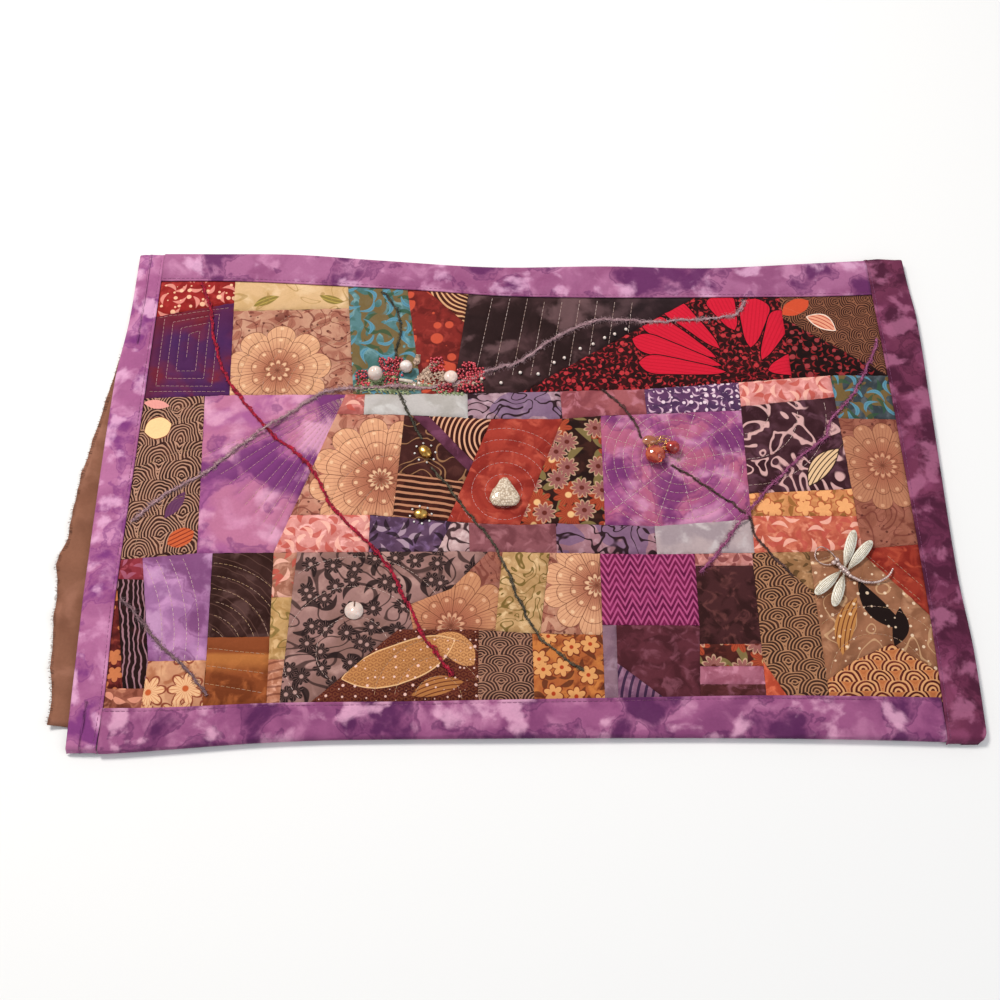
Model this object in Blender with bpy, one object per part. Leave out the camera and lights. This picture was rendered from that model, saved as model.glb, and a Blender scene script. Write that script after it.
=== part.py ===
# A small crazy quilt: a pieced and padded panel on a brown backing cloth, bound with four
# folded strips, with couched yarns, pearls, beads, a stone and a dragonfly charm sewn on.
# Lengths in the tables are millimetres measured on the flat quilt from its lower left corner,
# u to the right and v away from the viewer. The model is in metres, +Z up.

import math

import bmesh
import bpy
from mathutils import Matrix, Vector

# Driving dimensions, millimetres
MM = 0.001
CENTRE_U = 260.0
CENTRE_V = 177.0
CLOTH = 1.0
GAP = 0.3
PANEL_THICK = 3.0
BACKING_TUCK = 14.0
BINDING_WALL = 1.0
BINDING_ROUND = 1.1
PATCH_RISE = 0.7
CHANNEL_RISE = 0.4
SEAM_WIDTH = 0.8
PATCH_EDGE = 1.7
SHORT_EDGE = 2.4
SWELL = 0.3
SWELL_U = 230.0
SWELL_V = 290.0

# Heights of the layers, from the surface that the quilt lies on
PANEL_LOW = CLOTH + GAP
PANEL_TOP = PANEL_LOW + PANEL_THICK
BINDING_LOW = PANEL_TOP + GAP
BINDING_TOP = BINDING_LOW + BINDING_WALL
PATCH_TOP = PANEL_TOP + PATCH_RISE + CHANNEL_RISE

# Outer edges and binding seams as drawn by hand sewing: position along the edge, place of the edge
TOP_EDGE = ((-25, 355.5), (50, 355.5), (110, 355.3), (170, 350.5), (250, 344.5), (330, 345.8),
            (400, 344.5), (480, 348.8), (543, 353))
BOTTOM_EDGE = ((-25, -1.5), (20, -1.5), (60, 1), (110, 4.5), (160, 6.2), (350, 6.6), (450, 5.4),
               (510, 3.6), (543, 2))
LEFT_EDGE = ((-2, -1), (50, -2.6), (110, -4.2), (250, -4.4), (300, -0.6), (356, 0.4))
RIGHT_EDGE = ((2, 538.6), (60, 540.2), (110, 538.7), (220, 541.2), (300, 543), (330, 541), (354, 540))
TOP_SEAM = ((-5, 331), (70, 331.4), (140, 328), (200, 324), (250, 319.6), (300, 318.2), (400, 318.8),
            (480, 319.4), (545, 322.5))
BOTTOM_SEAM = ((-5, 25), (50, 25.2), (120, 28), (200, 28.6), (300, 30), (400, 31.5), (450, 31),
               (545, 29))
LEFT_SEAM = ((-2, 17), (30, 18), (100, 16.2), (200, 17), (356, 18.3))
RIGHT_SEAM = ((0, 514), (60, 516), (150, 516.5), (250, 515.5), (356, 513))

# The brown cloth past the left binding: height on the quilt, place of its raw edge
BACKING_RAW_EDGE = ((30, -14), (60, -18.5), (95, -20.8), (125, -23), (133, -19.5), (165, -18.6),
                    (200, -14), (250, -6.5), (290, -0.5), (330, 10))
BACKING_FOOT = 15.5
BACKING_HEAD = 330.0

# Seams of the panel in sewing order: piece cut, name on the seam's left, name on its right, and
# the points that the seam runs through
SEAMS = (
    ("panel", "row_a", "below_a",
     ((17, 237), (73, 239.5), (232, 240.7), (350, 244.3), (476, 255), (515, 255))),
    ("below_a", "middle", "row_c",
     ((17, 120.7), (63, 124.7), (233, 125.7), (350, 123.3), (446, 125), (480, 127), (515, 130))),
    ("middle", "wave_left", "middle_2", ((63, 124.7), (57, 239))),
    ("middle_2", "batik_fan", "middle_3", ((111, 125.5), (150.5, 240.2))),
    ("middle_3", "middle_4", "right_end", ((412.5, 125), (414, 250))),
    ("middle_4", "strip_1", "middle_5",
     ((145.5, 225), (190, 224.4), (240, 221.5), (294, 221.3), (320, 223.6), (413.5, 228))),
    ("middle_5", "row_b", "strip_2",
     ((120, 151), (170, 151), (232.5, 145.5), (265, 144), (288, 145), (350, 142.8), (412, 147.5))),
    ("strip_1", "coral_bit", "strip_1b", ((163, 225), (163.2, 240))),
    ("strip_1b", "aqua_top", "strip_1c", ((232, 222), (231.5, 240.7))),
    ("strip_1c", "swirl_top", "strip_1d", ((294.5, 221.3), (293.5, 242))),
    ("strip_1d", "mauve_top", "splash_navy", ((350.5, 224.6), (350, 244.3))),
    ("row_b", "wing_middle", "row_b2", ((184.5, 150), (190, 224.4))),
    ("row_b2", "dark_group", "row_b3", ((219, 146.5), (247.5, 221.4))),
    ("row_b3", "rust_rings", "row_b4", ((265, 144), (294.5, 221.3))),
    ("row_b4", "night_floral", "batik_web", ((319.3, 144), (319.7, 223.5))),
    ("dark_group", "dark_upper", "bar_stripes", ((187, 181), (227.5, 175.5))),
    ("dark_upper", "arc_lines", "dark_lower", ((206.5, 223), (235, 190))),
    ("dark_lower", "purple_band", "black_plain", ((195, 224), (231, 184))),
    ("strip_2", "coral_left", "strip_2b", ((170, 127), (170, 151))),
    ("strip_2b", "periwinkle_leaf", "strip_2c", ((213, 126), (222, 146.4))),
    ("strip_2c", "white_black", "strip_2d", ((233.3, 125.7), (232.8, 145.5))),
    ("strip_2d", "dull_purple", "strip_2e", ((288, 124), (288, 145))),
    ("strip_2e", "swirl_low", "aqua_low", ((351, 123.3), (350.5, 142.8))),
    ("right_end", "right_left", "right_right", ((481, 127), (480, 169.5), (478, 222), (476.5, 255))),
    ("right_right", "teal_leaf", "wing_right", ((478, 222), (515, 221))),
    ("right_left", "pink_top", "right_left_2", ((413.5, 231), (476.5, 238))),
    ("right_left_2", "scroll_navy", "right_left_3", ((414, 166), (480, 169.5))),
    ("right_left_3", "marigold", "coral_right", ((414, 150), (481, 150))),
    ("row_a", "row_a1", "row_a2", ((73.3, 239.5), (69.3, 331.5))),
    ("row_a1", "red_berry", "spiral_batik", ((18, 302), (70, 313.5))),
    ("row_a2", "row_a3", "row_a4", ((155.5, 240.3), (148, 328))),
    ("row_a3", "cream_leaf", "wing_left", ((70, 306.5), (150, 309.5))),
    ("row_a4", "fern_teal", "row_a5", ((201, 240.6), (189.5, 325))),
    ("row_a5", "row_a6", "row_a7", ((222, 240.7), (232, 322))),
    ("row_a6", "corner_arcs", "rust_spots", ((202.5, 325), (230, 297))),
    ("row_a7", "charcoal_pearl", "row_a8", ((267, 241.5), (388, 318))),
    ("row_a8", "red_fan", "row_a9", ((450.5, 252.8), (449, 319))),
    ("row_a9", "reed_brown", "dot_night", ((450, 301), (509, 260))),
    ("row_c", "row_c1", "row_c2", ((76, 26), (75.5, 55), (72.8, 124.8))),
    ("row_c1", "row_c1a", "row_c1b", ((40, 25), (41, 54), (29.5, 121.8))),
    ("row_c1b", "lilac_lines", "peony_cream", ((41, 54), (76, 54.5))),
    ("row_c1a", "red_square", "row_c1c", ((17, 107.5), (30, 107))),
    ("row_c1c", "row_c1d", "brown_bud", ((16, 37), (41, 37))),
    ("row_c1d", "zebra", "sliver_red", ((17, 98), (28, 37))),
    ("row_c2", "row_c2a", "row_c3", ((113.5, 27.8), (110.8, 125.2))),
    ("row_c2a", "dash_brown", "golden_brown", ((75, 69), (112, 69.5))),
    ("row_c3", "row_c3a", "row_c4", ((121, 28), (125.5, 125.3))),
    ("row_c3a", "peach_slat", "row_c3b", ((111, 95), (124, 95))),
    ("row_c3b", "lime_slat", "ribbed_slat", ((112, 55), (122.5, 55))),
    ("row_c4", "row_c4a", "row_c5", ((314, 30.2), (315, 124))),
    ("row_c4a", "row_c4_up", "row_c4_low", ((139, 28), (190, 74), (239, 73.5), (272, 71), (314, 70))),
    ("row_c4_low", "gold_scale", "row_c4b", ((238.5, 28.8), (239, 73.5))),
    ("row_c4b", "shell_wave", "orange_floral", ((272, 29.6), (271.5, 71))),
    ("row_c4_up", "mauve_floral", "row_c4c", ((199, 73.9), (196, 90), (222, 100.5), (245, 125.5))),
    ("row_c4c", "wing_lower", "row_c4d", ((249, 72.7), (254, 125.2))),
    ("row_c4d", "lime_scroll", "wing_eye", ((276.5, 71), (283.5, 124.6))),
    ("row_c5", "row_c5a", "row_c6", ((371, 31), (374, 76), (374.5, 123.7))),
    ("row_c5a", "magenta_chevron", "row_c5b", ((315, 76.5), (374, 76))),
    ("row_c5b", "periwinkle_slat", "row_c5c", ((322, 30.4), (323, 76.4))),
    ("row_c5c", "maroon_plain", "shell_stripe", ((322.5, 52), (349, 30.8))),
    ("row_c6", "row_c6a", "row_c7", ((410.5, 31.4), (410.8, 124.3))),
    ("row_c6a", "stripe_peach", "row_c6b", ((374, 115.5), (411, 115.5))),
    ("row_c6b", "plum_dark", "row_c6c", ((371, 64), (410.5, 64))),
    ("row_c6c", "ember_floral", "row_c6d", ((371, 50), (410.5, 50))),
    ("row_c6d", "lilac_slat", "dark_slat", ((371, 38.7), (410.5, 38.5))),
    ("row_c7", "row_c7a", "row_c8", ((448, 31), (447, 125))),
    ("row_c7a", "row_c7b", "orange_corner", ((410.6, 53), (423, 31.2))),
    ("row_c7b", "olive_corner", "wave_dark", ((421, 124.5), (447, 97))),
    ("row_c8", "red_corner", "row_c8a", ((478, 127), (515, 84))),
    ("row_c8a", "drift_leaf", "fan_gold", ((447, 40), (466, 53), (490, 64), (516, 46))),
)

# Straight quilting: piece, first stitched line, last stitched line, number of lines
QUILTING = (
    ("charcoal_pearl", ((237, 255), (249.5, 322)), ((336, 255), (347, 322)), 9),
    ("batik_fan", ((64, 127), (60, 215)), ((64, 127), (135, 195)), 5),
    ("lilac_lines", ((45, 54), (37, 122)), ((69, 54), (64, 124)), 4),
    ("dash_brown", ((74, 120), (112, 112)), ((74, 82), (112, 73)), 5),
    ("batik_web", ((320, 196), (414, 196)), ((366, 144), (366, 228)), 2),
)

# Couched yarns: node, radius, colour, points of the route, crossings that it passes over
YARNS = (
    ("yarn_crimson", 1.0, (0.19, 0.012, 0.03),
     ((47, 329), (52, 315), (57, 296), (64, 268), (74, 247), (99, 214.5), (130, 185), (146, 156),
      (172, 128), (186, 109.5), (195, 90.5), (205, 70.5), (222.5, 44)), ()),
    ("yarn_moss_upper", 1.0, (0.035, 0.045, 0.03),
     ((172, 323), (181, 311), (185, 298), (185, 284), (183, 270), (184.5, 257), (186, 242), (192, 227),
      (201, 206)), ()),
    ("yarn_moss_lower", 1.0, (0.035, 0.045, 0.03),
     ((208.5, 184), (220, 170), (232.5, 151), (247.5, 132), (257.5, 110), (264, 92), (277, 67),
      (301, 47)), ()),
    ("yarn_charcoal_upper", 0.8, (0.03, 0.02, 0.028), ((322, 243), (332.5, 232), (341, 219), (346, 206)), ()),
    ("yarn_charcoal_lower", 0.8, (0.03, 0.02, 0.028),
     ((364.5, 185.5), (381, 174), (402, 157), (410.5, 148), (415, 134), (426.5, 118.5), (434, 109)), ()),
    ("yarn_grey_plume", 1.1, (0.11, 0.075, 0.1),
     ((20, 146), (40, 166), (62, 180), (87, 203), (116, 226), (134, 240), (160, 244.5), (200, 244.5),
      (230, 249), (246, 258), (266, 265), (292, 285), (322, 298), (360, 298), (398, 300), (416, 304),
      (425, 315)),
     ((101.5, 213.5), (186, 244.5))),
    ("yarn_grey_corner", 1.0, (0.07, 0.05, 0.06),
     ((20, 94), (31, 83), (40, 72), (50, 61), (62, 51), (78, 33)), ()),
    ("yarn_plum", 1.1, (0.12, 0.03, 0.09),
     ((512, 283), (506, 268), (490, 240), (474, 222), (466, 206), (449, 192), (428, 172), (411, 152),
      (398, 136), (386, 120), (377, 111)), ((410, 149.5),)),
)
YARN_STEP = 9.0
CROSSING_FLAT = 7.0
CROSSING_RUN = 20.0

# Round and oval trimmings: node, u, v, half sizes along its length, across and up, turn in degrees,
# colour, roughness, metallic
TRIMMINGS = (
    ("pearl_left", 170, 253, 5.0, 5.0, 5.0, 0, (0.78, 0.68, 0.58), 0.25, 0.0),
    ("pearl_middle", 190.4, 259, 4.3, 4.3, 4.3, 0, (0.8, 0.74, 0.68), 0.25, 0.0),
    ("pearl_right", 220.4, 252, 4.7, 4.7, 2.6, 0, (0.72, 0.5, 0.42), 0.25, 0.0),
    ("shell_disc", 162.8, 85.6, 5.7, 5.7, 1.1, 0, (0.8, 0.7, 0.62), 0.3, 0.0),
    ("gold_bead_upper", 204.2, 195, 5.2, 3.8, 2.6, -50, (0.75, 0.5, 0.12), 0.25, 1.0),
    ("gold_bead_lower", 202.3, 150.4, 4.7, 3.5, 2.4, -5, (0.62, 0.4, 0.16), 0.3, 1.0),
    ("red_bead_large", 353.5, 191.8, 6.6, 6.2, 4.6, 0, (0.42, 0.03, 0.02), 0.12, 0.0),
    ("red_bead_small", 365.2, 197.2, 4.6, 4.6, 3.8, 0, (0.36, 0.012, 0.015), 0.12, 0.0),
    ("amber_bead", 350.6, 202.8, 4.8, 3.6, 2.6, 15, (0.5, 0.2, 0.12), 0.15, 0.0),
)

# The stone: rounded triangle, narrower at its far end
STONE_AT = (255.6, 165)
STONE_HALF = (9.6, 10.6, 2.9)
STONE_TAPER = 0.38

# The dragonfly: each wing's root and tip, then the tail's curve and the head
WINGS = (
    ((466.6, 112.0), (476.5, 138.5)),
    ((467.8, 110.4), (486.5, 131)),
    ((465.0, 111.2), (446.5, 95)),
    ((466.6, 109.6), (457, 87)),
)
WING_HALF_WIDTH = 2.9
WING_THICK = 0.9
THORAX_AT = (466.5, 111)
THORAX_HALF = (6.4, 2.8, 1.9)
THORAX_TURN = -50
HEAD_AT = (461.4, 117.0)
HEAD_RADIUS = 2.1
TAIL = ((469, 108.5), (478, 103.6), (487, 103.6), (494, 107.6), (497.5, 112.5))
TAIL_RADIUS = 0.8


def clear_scene():
    for thing in list(bpy.data.objects):
        bpy.data.objects.remove(thing)


def finish_material(name, colour, roughness=0.85, metallic=0.0):
    material = bpy.data.materials.new(name)
    material.use_nodes = True
    shader = material.node_tree.nodes["Principled BSDF"]
    shader.inputs["Base Color"].default_value = (*colour, 1.0)
    shader.inputs["Roughness"].default_value = roughness
    shader.inputs["Metallic"].default_value = metallic
    return material


def curve_value(table, position):
    """Smooth curve through a table of position and value, level past its ends."""
    if position <= table[0][0]:
        return table[0][1]
    if position >= table[-1][0]:
        return table[-1][1]
    index = max(i for i, row in enumerate(table[:-1]) if row[0] <= position)
    (x0, y0), (x1, y1) = table[index], table[index + 1]
    before = table[max(index - 1, 0)]
    after = table[min(index + 2, len(table) - 1)]
    slope_0 = (y1 - before[1]) / (x1 - before[0])
    slope_1 = (after[1] - y0) / (after[0] - x0)
    t = (position - x0) / (x1 - x0)
    bend_0 = t * (1 - t) ** 2 * (x1 - x0) * slope_0
    bend_1 = -t * t * (1 - t) * (x1 - x0) * slope_1
    return y0 * (1 + 2 * t) * (1 - t) ** 2 + y1 * t * t * (3 - 2 * t) + bend_0 + bend_1


def smooth_route(points, step):
    """Points about one step apart on a smooth curve through the given ones."""
    route = []
    for i in range(len(points) - 1):
        p0 = Vector(points[max(i - 1, 0)])
        p1 = Vector(points[i])
        p2 = Vector(points[i + 1])
        p3 = Vector(points[min(i + 2, len(points) - 1)])
        count = max(1, round((p2 - p1).length / step))
        for k in range(count):
            t = k / count
            route.append(0.5 * (2 * p1 + (p2 - p0) * t + (2 * p0 - 5 * p1 + 4 * p2 - p3) * t ** 2
                                + (3 * p1 - p0 - 3 * p2 + p3) * t ** 3))
    route.append(Vector(points[-1]))
    return route


def swell(u, v):
    """The slow unevenness of the quilt's upper side."""
    return SWELL * math.sin(2 * math.pi * u / SWELL_U + 0.7) * math.cos(2 * math.pi * v / SWELL_V - 0.5)


def place(u, v, z):
    return Vector(((u - CENTRE_U) * MM, (v - CENTRE_V) * MM, z * MM))


def new_object(name, bm, material):
    bmesh.ops.recalc_face_normals(bm, faces=bm.faces)
    if bm.calc_volume(signed=True) < 0:
        bmesh.ops.reverse_faces(bm, faces=bm.faces)
    mesh = bpy.data.meshes.new(name)
    bm.to_mesh(mesh)
    bm.free()
    mesh.materials.append(material)
    thing = bpy.data.objects.new(name, mesh)
    bpy.context.collection.objects.link(thing)
    return thing


def slab(left, right, bottom, top, cells_u, cells_v, low, high):
    """A flat slab between four edge curves, its upper side following the swell."""
    bm = bmesh.new()
    bmesh.ops.create_grid(bm, x_segments=cells_u, y_segments=cells_v, size=0.5)
    for vert in bm.verts:
        a = vert.co.x + 0.5
        b = vert.co.y + 0.5
        u = left(0) * (1 - a) + right(0) * a
        v = bottom(u) * (1 - b) + top(u) * b
        for _ in range(4):
            u = left(v) * (1 - a) + right(v) * a
            v = bottom(u) * (1 - b) + top(u) * b
        vert.co = Vector((u, v, high(u, v)))
    upper = list(bm.faces)
    lower = bmesh.ops.extrude_face_region(bm, geom=upper)["geom"]
    for item in lower:
        if isinstance(item, bmesh.types.BMVert):
            item.co.z = low(item.co.x, item.co.y)
    return bm


def to_world(bm):
    for vert in bm.verts:
        vert.co = place(*vert.co)


def edge(table, shift=0.0):
    return lambda position: curve_value(table, position) + shift


def level(height, uneven=0.0):
    return lambda u, v: height + uneven * swell(u, v)


def cross(a, b):
    return a[0] * b[1] - a[1] * b[0]


def boundary_hit(polygon, start, toward):
    """Where the ray from start through toward first leaves the polygon: edge number and point."""
    ray = (toward[0] - start[0], toward[1] - start[1])
    best = None
    for i, p in enumerate(polygon):
        q = polygon[(i + 1) % len(polygon)]
        side = (q[0] - p[0], q[1] - p[1])
        turn = cross(ray, side)
        if abs(turn) < 1e-12:
            continue
        gap = (p[0] - start[0], p[1] - start[1])
        along = cross(gap, side) / turn
        across = cross(gap, ray) / turn
        if along > 1e-9 and -1e-9 <= across <= 1 + 1e-9 and (best is None or along < best[0]):
            best = (along, i, (start[0] + ray[0] * along, start[1] + ray[1] * along))
    return best[1], best[2]


def middle(p, q):
    return ((p[0] + q[0]) / 2, (p[1] + q[1]) / 2)


def walk(polygon, first_edge, last_edge):
    """The polygon's corners after one edge, up to and with the start of another."""
    corners = []
    index = first_edge
    while index != last_edge:
        index = (index + 1) % len(polygon)
        corners.append(polygon[index])
    return corners


def cut_polygon(polygon, seam):
    """Split a counterclockwise polygon along a seam into its left and right parts."""
    start_edge, start = boundary_hit(polygon, middle(seam[0], seam[1]), seam[0])
    end_edge, end = boundary_hit(polygon, middle(seam[-2], seam[-1]), seam[-1])
    inner = list(seam[1:-1])
    left = [start, *inner, end, *walk(polygon, end_edge, start_edge)]
    right = [end, *reversed(inner), start, *walk(polygon, start_edge, end_edge)]
    return tidy(left), tidy(right)


def tidy(polygon):
    """Drop corners that lie within a hair of the one before."""
    kept = []
    for point in polygon:
        if not kept or math.dist(point, kept[-1]) > 0.05:
            kept.append(point)
    if math.dist(kept[0], kept[-1]) <= 0.05:
        kept.pop()
    return kept


def panel_outline():
    """The visible panel, a little inside the binding seams, counterclockwise."""
    inside = 0.9
    low = [(u, curve_value(BOTTOM_SEAM, u) + inside) for u in range(35, 500, 15)]
    high = [(u, curve_value(TOP_SEAM, u) - inside) for u in range(500, 20, -15)]
    corners = []
    for u_table, v_table, du, dv, v_near in (
            (LEFT_SEAM, BOTTOM_SEAM, inside, inside, 30), (RIGHT_SEAM, BOTTOM_SEAM, -inside, inside, 30),
            (RIGHT_SEAM, TOP_SEAM, -inside, -inside, 325), (LEFT_SEAM, TOP_SEAM, inside, -inside, 330)):
        u = curve_value(u_table, v_near) + du
        corners.append((u, curve_value(v_table, u) + dv))
    right_side = [(curve_value(RIGHT_SEAM, v) - inside, v) for v in range(45, 315, 15)]
    left_side = [(curve_value(LEFT_SEAM, v) + inside, v) for v in range(315, 45, -15)]
    return [corners[0], *low, corners[1], *right_side, corners[2], *high, corners[3], *left_side]


def cut_patches():
    pieces = {"panel": panel_outline()}
    for name, left_name, right_name, seam in SEAMS:
        left, right = cut_polygon(pieces.pop(name), seam)
        pieces[left_name] = left
        pieces[right_name] = right
    return pieces


def side_of(line, point):
    (x0, y0), (x1, y1) = line
    return cross((x1 - x0, y1 - y0), (point[0] - x0, point[1] - y0)) / math.dist(*line)


def quilting_channels(pieces):
    """The parts of each quilted patch that lie between its stitched lines."""
    channels = {}
    for name, first, last, count in QUILTING:
        parts = [pieces[name]]
        for k in range(count):
            t = k / (count - 1)
            line = [tuple(a + (b - a) * t for a, b in zip(p, q)) for p, q in zip(first, last)]
            parts = [half for part in parts for half in halves(part, line)]
        channels[name] = parts
    return channels


def halves(polygon, line):
    """A polygon cut by an endless line, or the polygon alone where the line misses it."""
    result = []
    for sign in (1, -1):
        kept = []
        for i, p in enumerate(polygon):
            q = polygon[(i + 1) % len(polygon)]
            dp = sign * side_of(line, p)
            dq = sign * side_of(line, q)
            if dp >= 0:
                kept.append(p)
            if dp * dq < 0:
                t = dp / (dp - dq)
                kept.append((p[0] + (q[0] - p[0]) * t, p[1] + (q[1] - p[1]) * t))
        kept = tidy(kept) if len(kept) > 2 else []
        if len(kept) > 2 and mean_width(kept) > 4:
            result.append(kept)
    return result


def mean_width(polygon):
    rim = sum(math.dist(p, polygon[i - 1]) for i, p in enumerate(polygon))
    return 2 * polygon_area(polygon) / rim


def polygon_area(polygon):
    return 0.5 * sum(cross(p, polygon[(i + 1) % len(polygon)]) for i, p in enumerate(polygon))


def with_neighbours(polygon, corners):
    """The polygon with every other piece's corner that lies on one of its sides."""
    result = []
    for i, p in enumerate(polygon):
        q = polygon[(i + 1) % len(polygon)]
        length = math.dist(p, q)
        between = []
        for point in corners:
            along = ((point[0] - p[0]) * (q[0] - p[0]) + (point[1] - p[1]) * (q[1] - p[1])) / length
            if 0.02 < along < length - 0.02 and abs(side_of((p, q), point)) < 0.02:
                between.append((along, point))
        result.append(p)
        result.extend(point for _, point in sorted(between))
    return result


def under_binding(vert):
    """Carry a corner of the visible panel out to the fold of the nearest binding."""
    u, v = vert.co.x, vert.co.y
    inset = BINDING_WALL + GAP
    at_left = abs(u - curve_value(LEFT_SEAM, v)) < 4
    at_right = abs(u - curve_value(RIGHT_SEAM, v)) < 4
    at_bottom = abs(v - curve_value(BOTTOM_SEAM, u)) < 4
    at_top = abs(v - curve_value(TOP_SEAM, u)) < 4
    for _ in range(3):
        if at_left:
            vert.co.x = curve_value(LEFT_EDGE, vert.co.y) + inset
        if at_right:
            vert.co.x = round_corner(vert.co.y) - inset
        if at_bottom:
            vert.co.y = curve_value(BOTTOM_EDGE, vert.co.x) + inset
        if at_top:
            vert.co.y = curve_value(TOP_EDGE, vert.co.x) - inset


def extrude_rim(bm, edges):
    """Extrude a rim and give back its new corners and edges."""
    grown = bmesh.ops.extrude_edge_only(bm, edges=edges)["geom"]
    corners = [item for item in grown if isinstance(item, bmesh.types.BMVert)]
    fresh = set(corners)
    rim = [item for item in grown
           if isinstance(item, bmesh.types.BMEdge) and fresh.issuperset(item.verts)]
    return corners, rim


def make_panel(material):
    """The padded panel: one low pillow for each patch and quilted channel, flat below."""
    pieces = cut_patches()
    channels = quilting_channels(pieces)
    cells = []
    for name, polygon in pieces.items():
        cells.extend(channels.get(name, [polygon]))
    corners = [point for cell in cells for point in cell]
    bm = bmesh.new()
    for cell in cells:
        outline = with_neighbours(cell, corners)
        bm.faces.new([bm.verts.new((u, v, PANEL_TOP)) for u, v in outline])
    bmesh.ops.remove_doubles(bm, verts=bm.verts, dist=0.06)
    bmesh.ops.remove_doubles(bm, verts=bm.verts, dist=SHORT_EDGE)
    tops = list(bm.faces)
    _, rim = extrude_rim(bm, [item for item in bm.edges if item.is_boundary])
    for vert in {vert for item in rim for vert in item.verts}:
        under_binding(vert)
    for vert in bm.verts:
        vert.co.z += swell(vert.co.x, vert.co.y)
    lower, rim = extrude_rim(bm, rim)
    for vert in lower:
        vert.co.z = PANEL_LOW
    bmesh.ops.holes_fill(bm, edges=rim)
    for width, rise in ((SEAM_WIDTH, PATCH_RISE), (PATCH_EDGE, CHANNEL_RISE)):
        bmesh.ops.inset_individual(bm, faces=tops, thickness=width, use_even_offset=True)
        for vert in {vert for face in tops for vert in face.verts}:
            vert.co.z += rise
    to_world(bm)
    return new_object("quilted_panel", bm, material)


def make_backing(material):
    """One thin cloth under the panel, past the left binding as far as its raw edge."""
    tuck = BACKING_TUCK + GAP
    sheet = slab(edge(LEFT_EDGE, 8), edge(RIGHT_EDGE, -tuck), edge(BOTTOM_EDGE, tuck),
                 edge(TOP_EDGE, -tuck), 26, 20, level(0), level(CLOTH))
    to_world(sheet)
    backing = new_object("backing_cloth", sheet, material)
    flap = slab(edge(BACKING_RAW_EDGE), edge(LEFT_EDGE, 12), lambda u: BACKING_FOOT,
                lambda u: BACKING_HEAD, 8, 28, level(0), level(CLOTH))
    for vert in flap.verts:
        out = max(0.0, curve_value(LEFT_EDGE, vert.co.y) - 1.0 - vert.co.x) / 20
        vert.co.z += out * wrinkle(vert.co.y)
    to_world(flap)
    tool = new_object("backing_flap_tool", flap, material)
    tool.hide_render = True
    tool.display_type = "WIRE"
    union = backing.modifiers.new("flap", "BOOLEAN")
    union.operation = "UNION"
    union.solver = "MANIFOLD"
    union.object = tool
    return backing


def wrinkle(v):
    """Lift of the loose cloth's edge, never below the surface."""
    return 1.6 * max(0.0, math.sin(v / 11.0) * math.sin(v / 29.0 + 0.8)) + 0.5 * (1 + math.sin(v / 17.0))


def make_binding(name, material, strip, cells, low, hollows):
    """A folded strip: a rounded slab with room cut out for the panel's edge and the backing."""
    bm = slab(*strip, *cells, level(low), level(BINDING_TOP, 1.0))
    to_world(bm)
    rim = [item for item in bm.edges if item.calc_face_angle(0.0) > 0.9]
    bmesh.ops.bevel(bm, geom=rim, offset=BINDING_ROUND * MM * 0.8, segments=2, profile=0.5,
                    affect="EDGES", material=-1)
    binding = new_object(name, bm, material)
    for number, (room, floor) in enumerate(hollows):
        bm = slab(*room, *cells, level(floor), level(BINDING_LOW, 1.0))
        to_world(bm)
        tool = new_object("%s_hollow_%d" % (name, number), bm, material)
        tool.hide_render = True
        tool.display_type = "WIRE"
        difference = binding.modifiers.new("hollow", "BOOLEAN")
        difference.operation = "DIFFERENCE"
        difference.solver = "MANIFOLD"
        difference.object = tool


def make_bindings(material):
    wall = BINDING_WALL
    tuck = BACKING_TUCK
    far = 60.0
    below = -3.0
    make_binding("binding_left", material,
                 (edge(LEFT_EDGE), edge(LEFT_SEAM), edge(BOTTOM_EDGE), edge(TOP_EDGE)), (2, 22),
                 CLOTH + GAP,
                 (((edge(LEFT_EDGE, wall), edge(LEFT_SEAM, 5), edge(BOTTOM_EDGE, wall),
                    edge(TOP_EDGE, -wall)), below),))
    make_binding("binding_right", material,
                 (edge(RIGHT_SEAM), round_corner, edge(BOTTOM_EDGE), edge(TOP_EDGE)), (2, 24), 0,
                 (((edge(RIGHT_SEAM, -5), round_wall, edge(BOTTOM_EDGE, wall),
                    edge(TOP_EDGE, -wall)), CLOTH),
                  ((edge(RIGHT_SEAM, -5), edge(RIGHT_EDGE, -tuck), edge(BOTTOM_EDGE, tuck),
                    edge(TOP_EDGE, -tuck)), below)))
    make_binding("binding_top", material,
                 (edge(LEFT_SEAM, GAP), edge(RIGHT_SEAM, -GAP), edge(TOP_SEAM), edge(TOP_EDGE)),
                 (26, 2), 0,
                 (((edge(LEFT_SEAM, -far), edge(RIGHT_SEAM, far), edge(TOP_SEAM, -5),
                    edge(TOP_EDGE, -wall)), CLOTH),
                  ((edge(LEFT_SEAM, -far), edge(RIGHT_SEAM, far), edge(TOP_SEAM, -5),
                    edge(TOP_EDGE, -tuck)), below)))
    make_binding("binding_bottom", material,
                 (edge(LEFT_SEAM, GAP), edge(RIGHT_SEAM, -GAP), edge(BOTTOM_EDGE),
                  edge(BOTTOM_SEAM)), (26, 2), 0,
                 (((edge(LEFT_SEAM, -far), edge(RIGHT_SEAM, far), edge(BOTTOM_EDGE, wall),
                    edge(BOTTOM_SEAM, 5)), CLOTH),
                  ((edge(LEFT_SEAM, -far), edge(RIGHT_SEAM, far), edge(BOTTOM_EDGE, tuck),
                    edge(BOTTOM_SEAM, 5)), below)))


def round_wall(v):
    return round_corner(v) - BINDING_WALL


def round_corner(v):
    """The right edge, drawn in along an arc at its lower end."""
    radius = 8.0
    start = curve_value(BOTTOM_EDGE, 538) + radius
    if v >= start:
        return curve_value(RIGHT_EDGE, v)
    drop = min(start - v, radius)
    return curve_value(RIGHT_EDGE, v) - radius + math.sqrt(radius ** 2 - 0.9 * drop ** 2)


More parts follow.
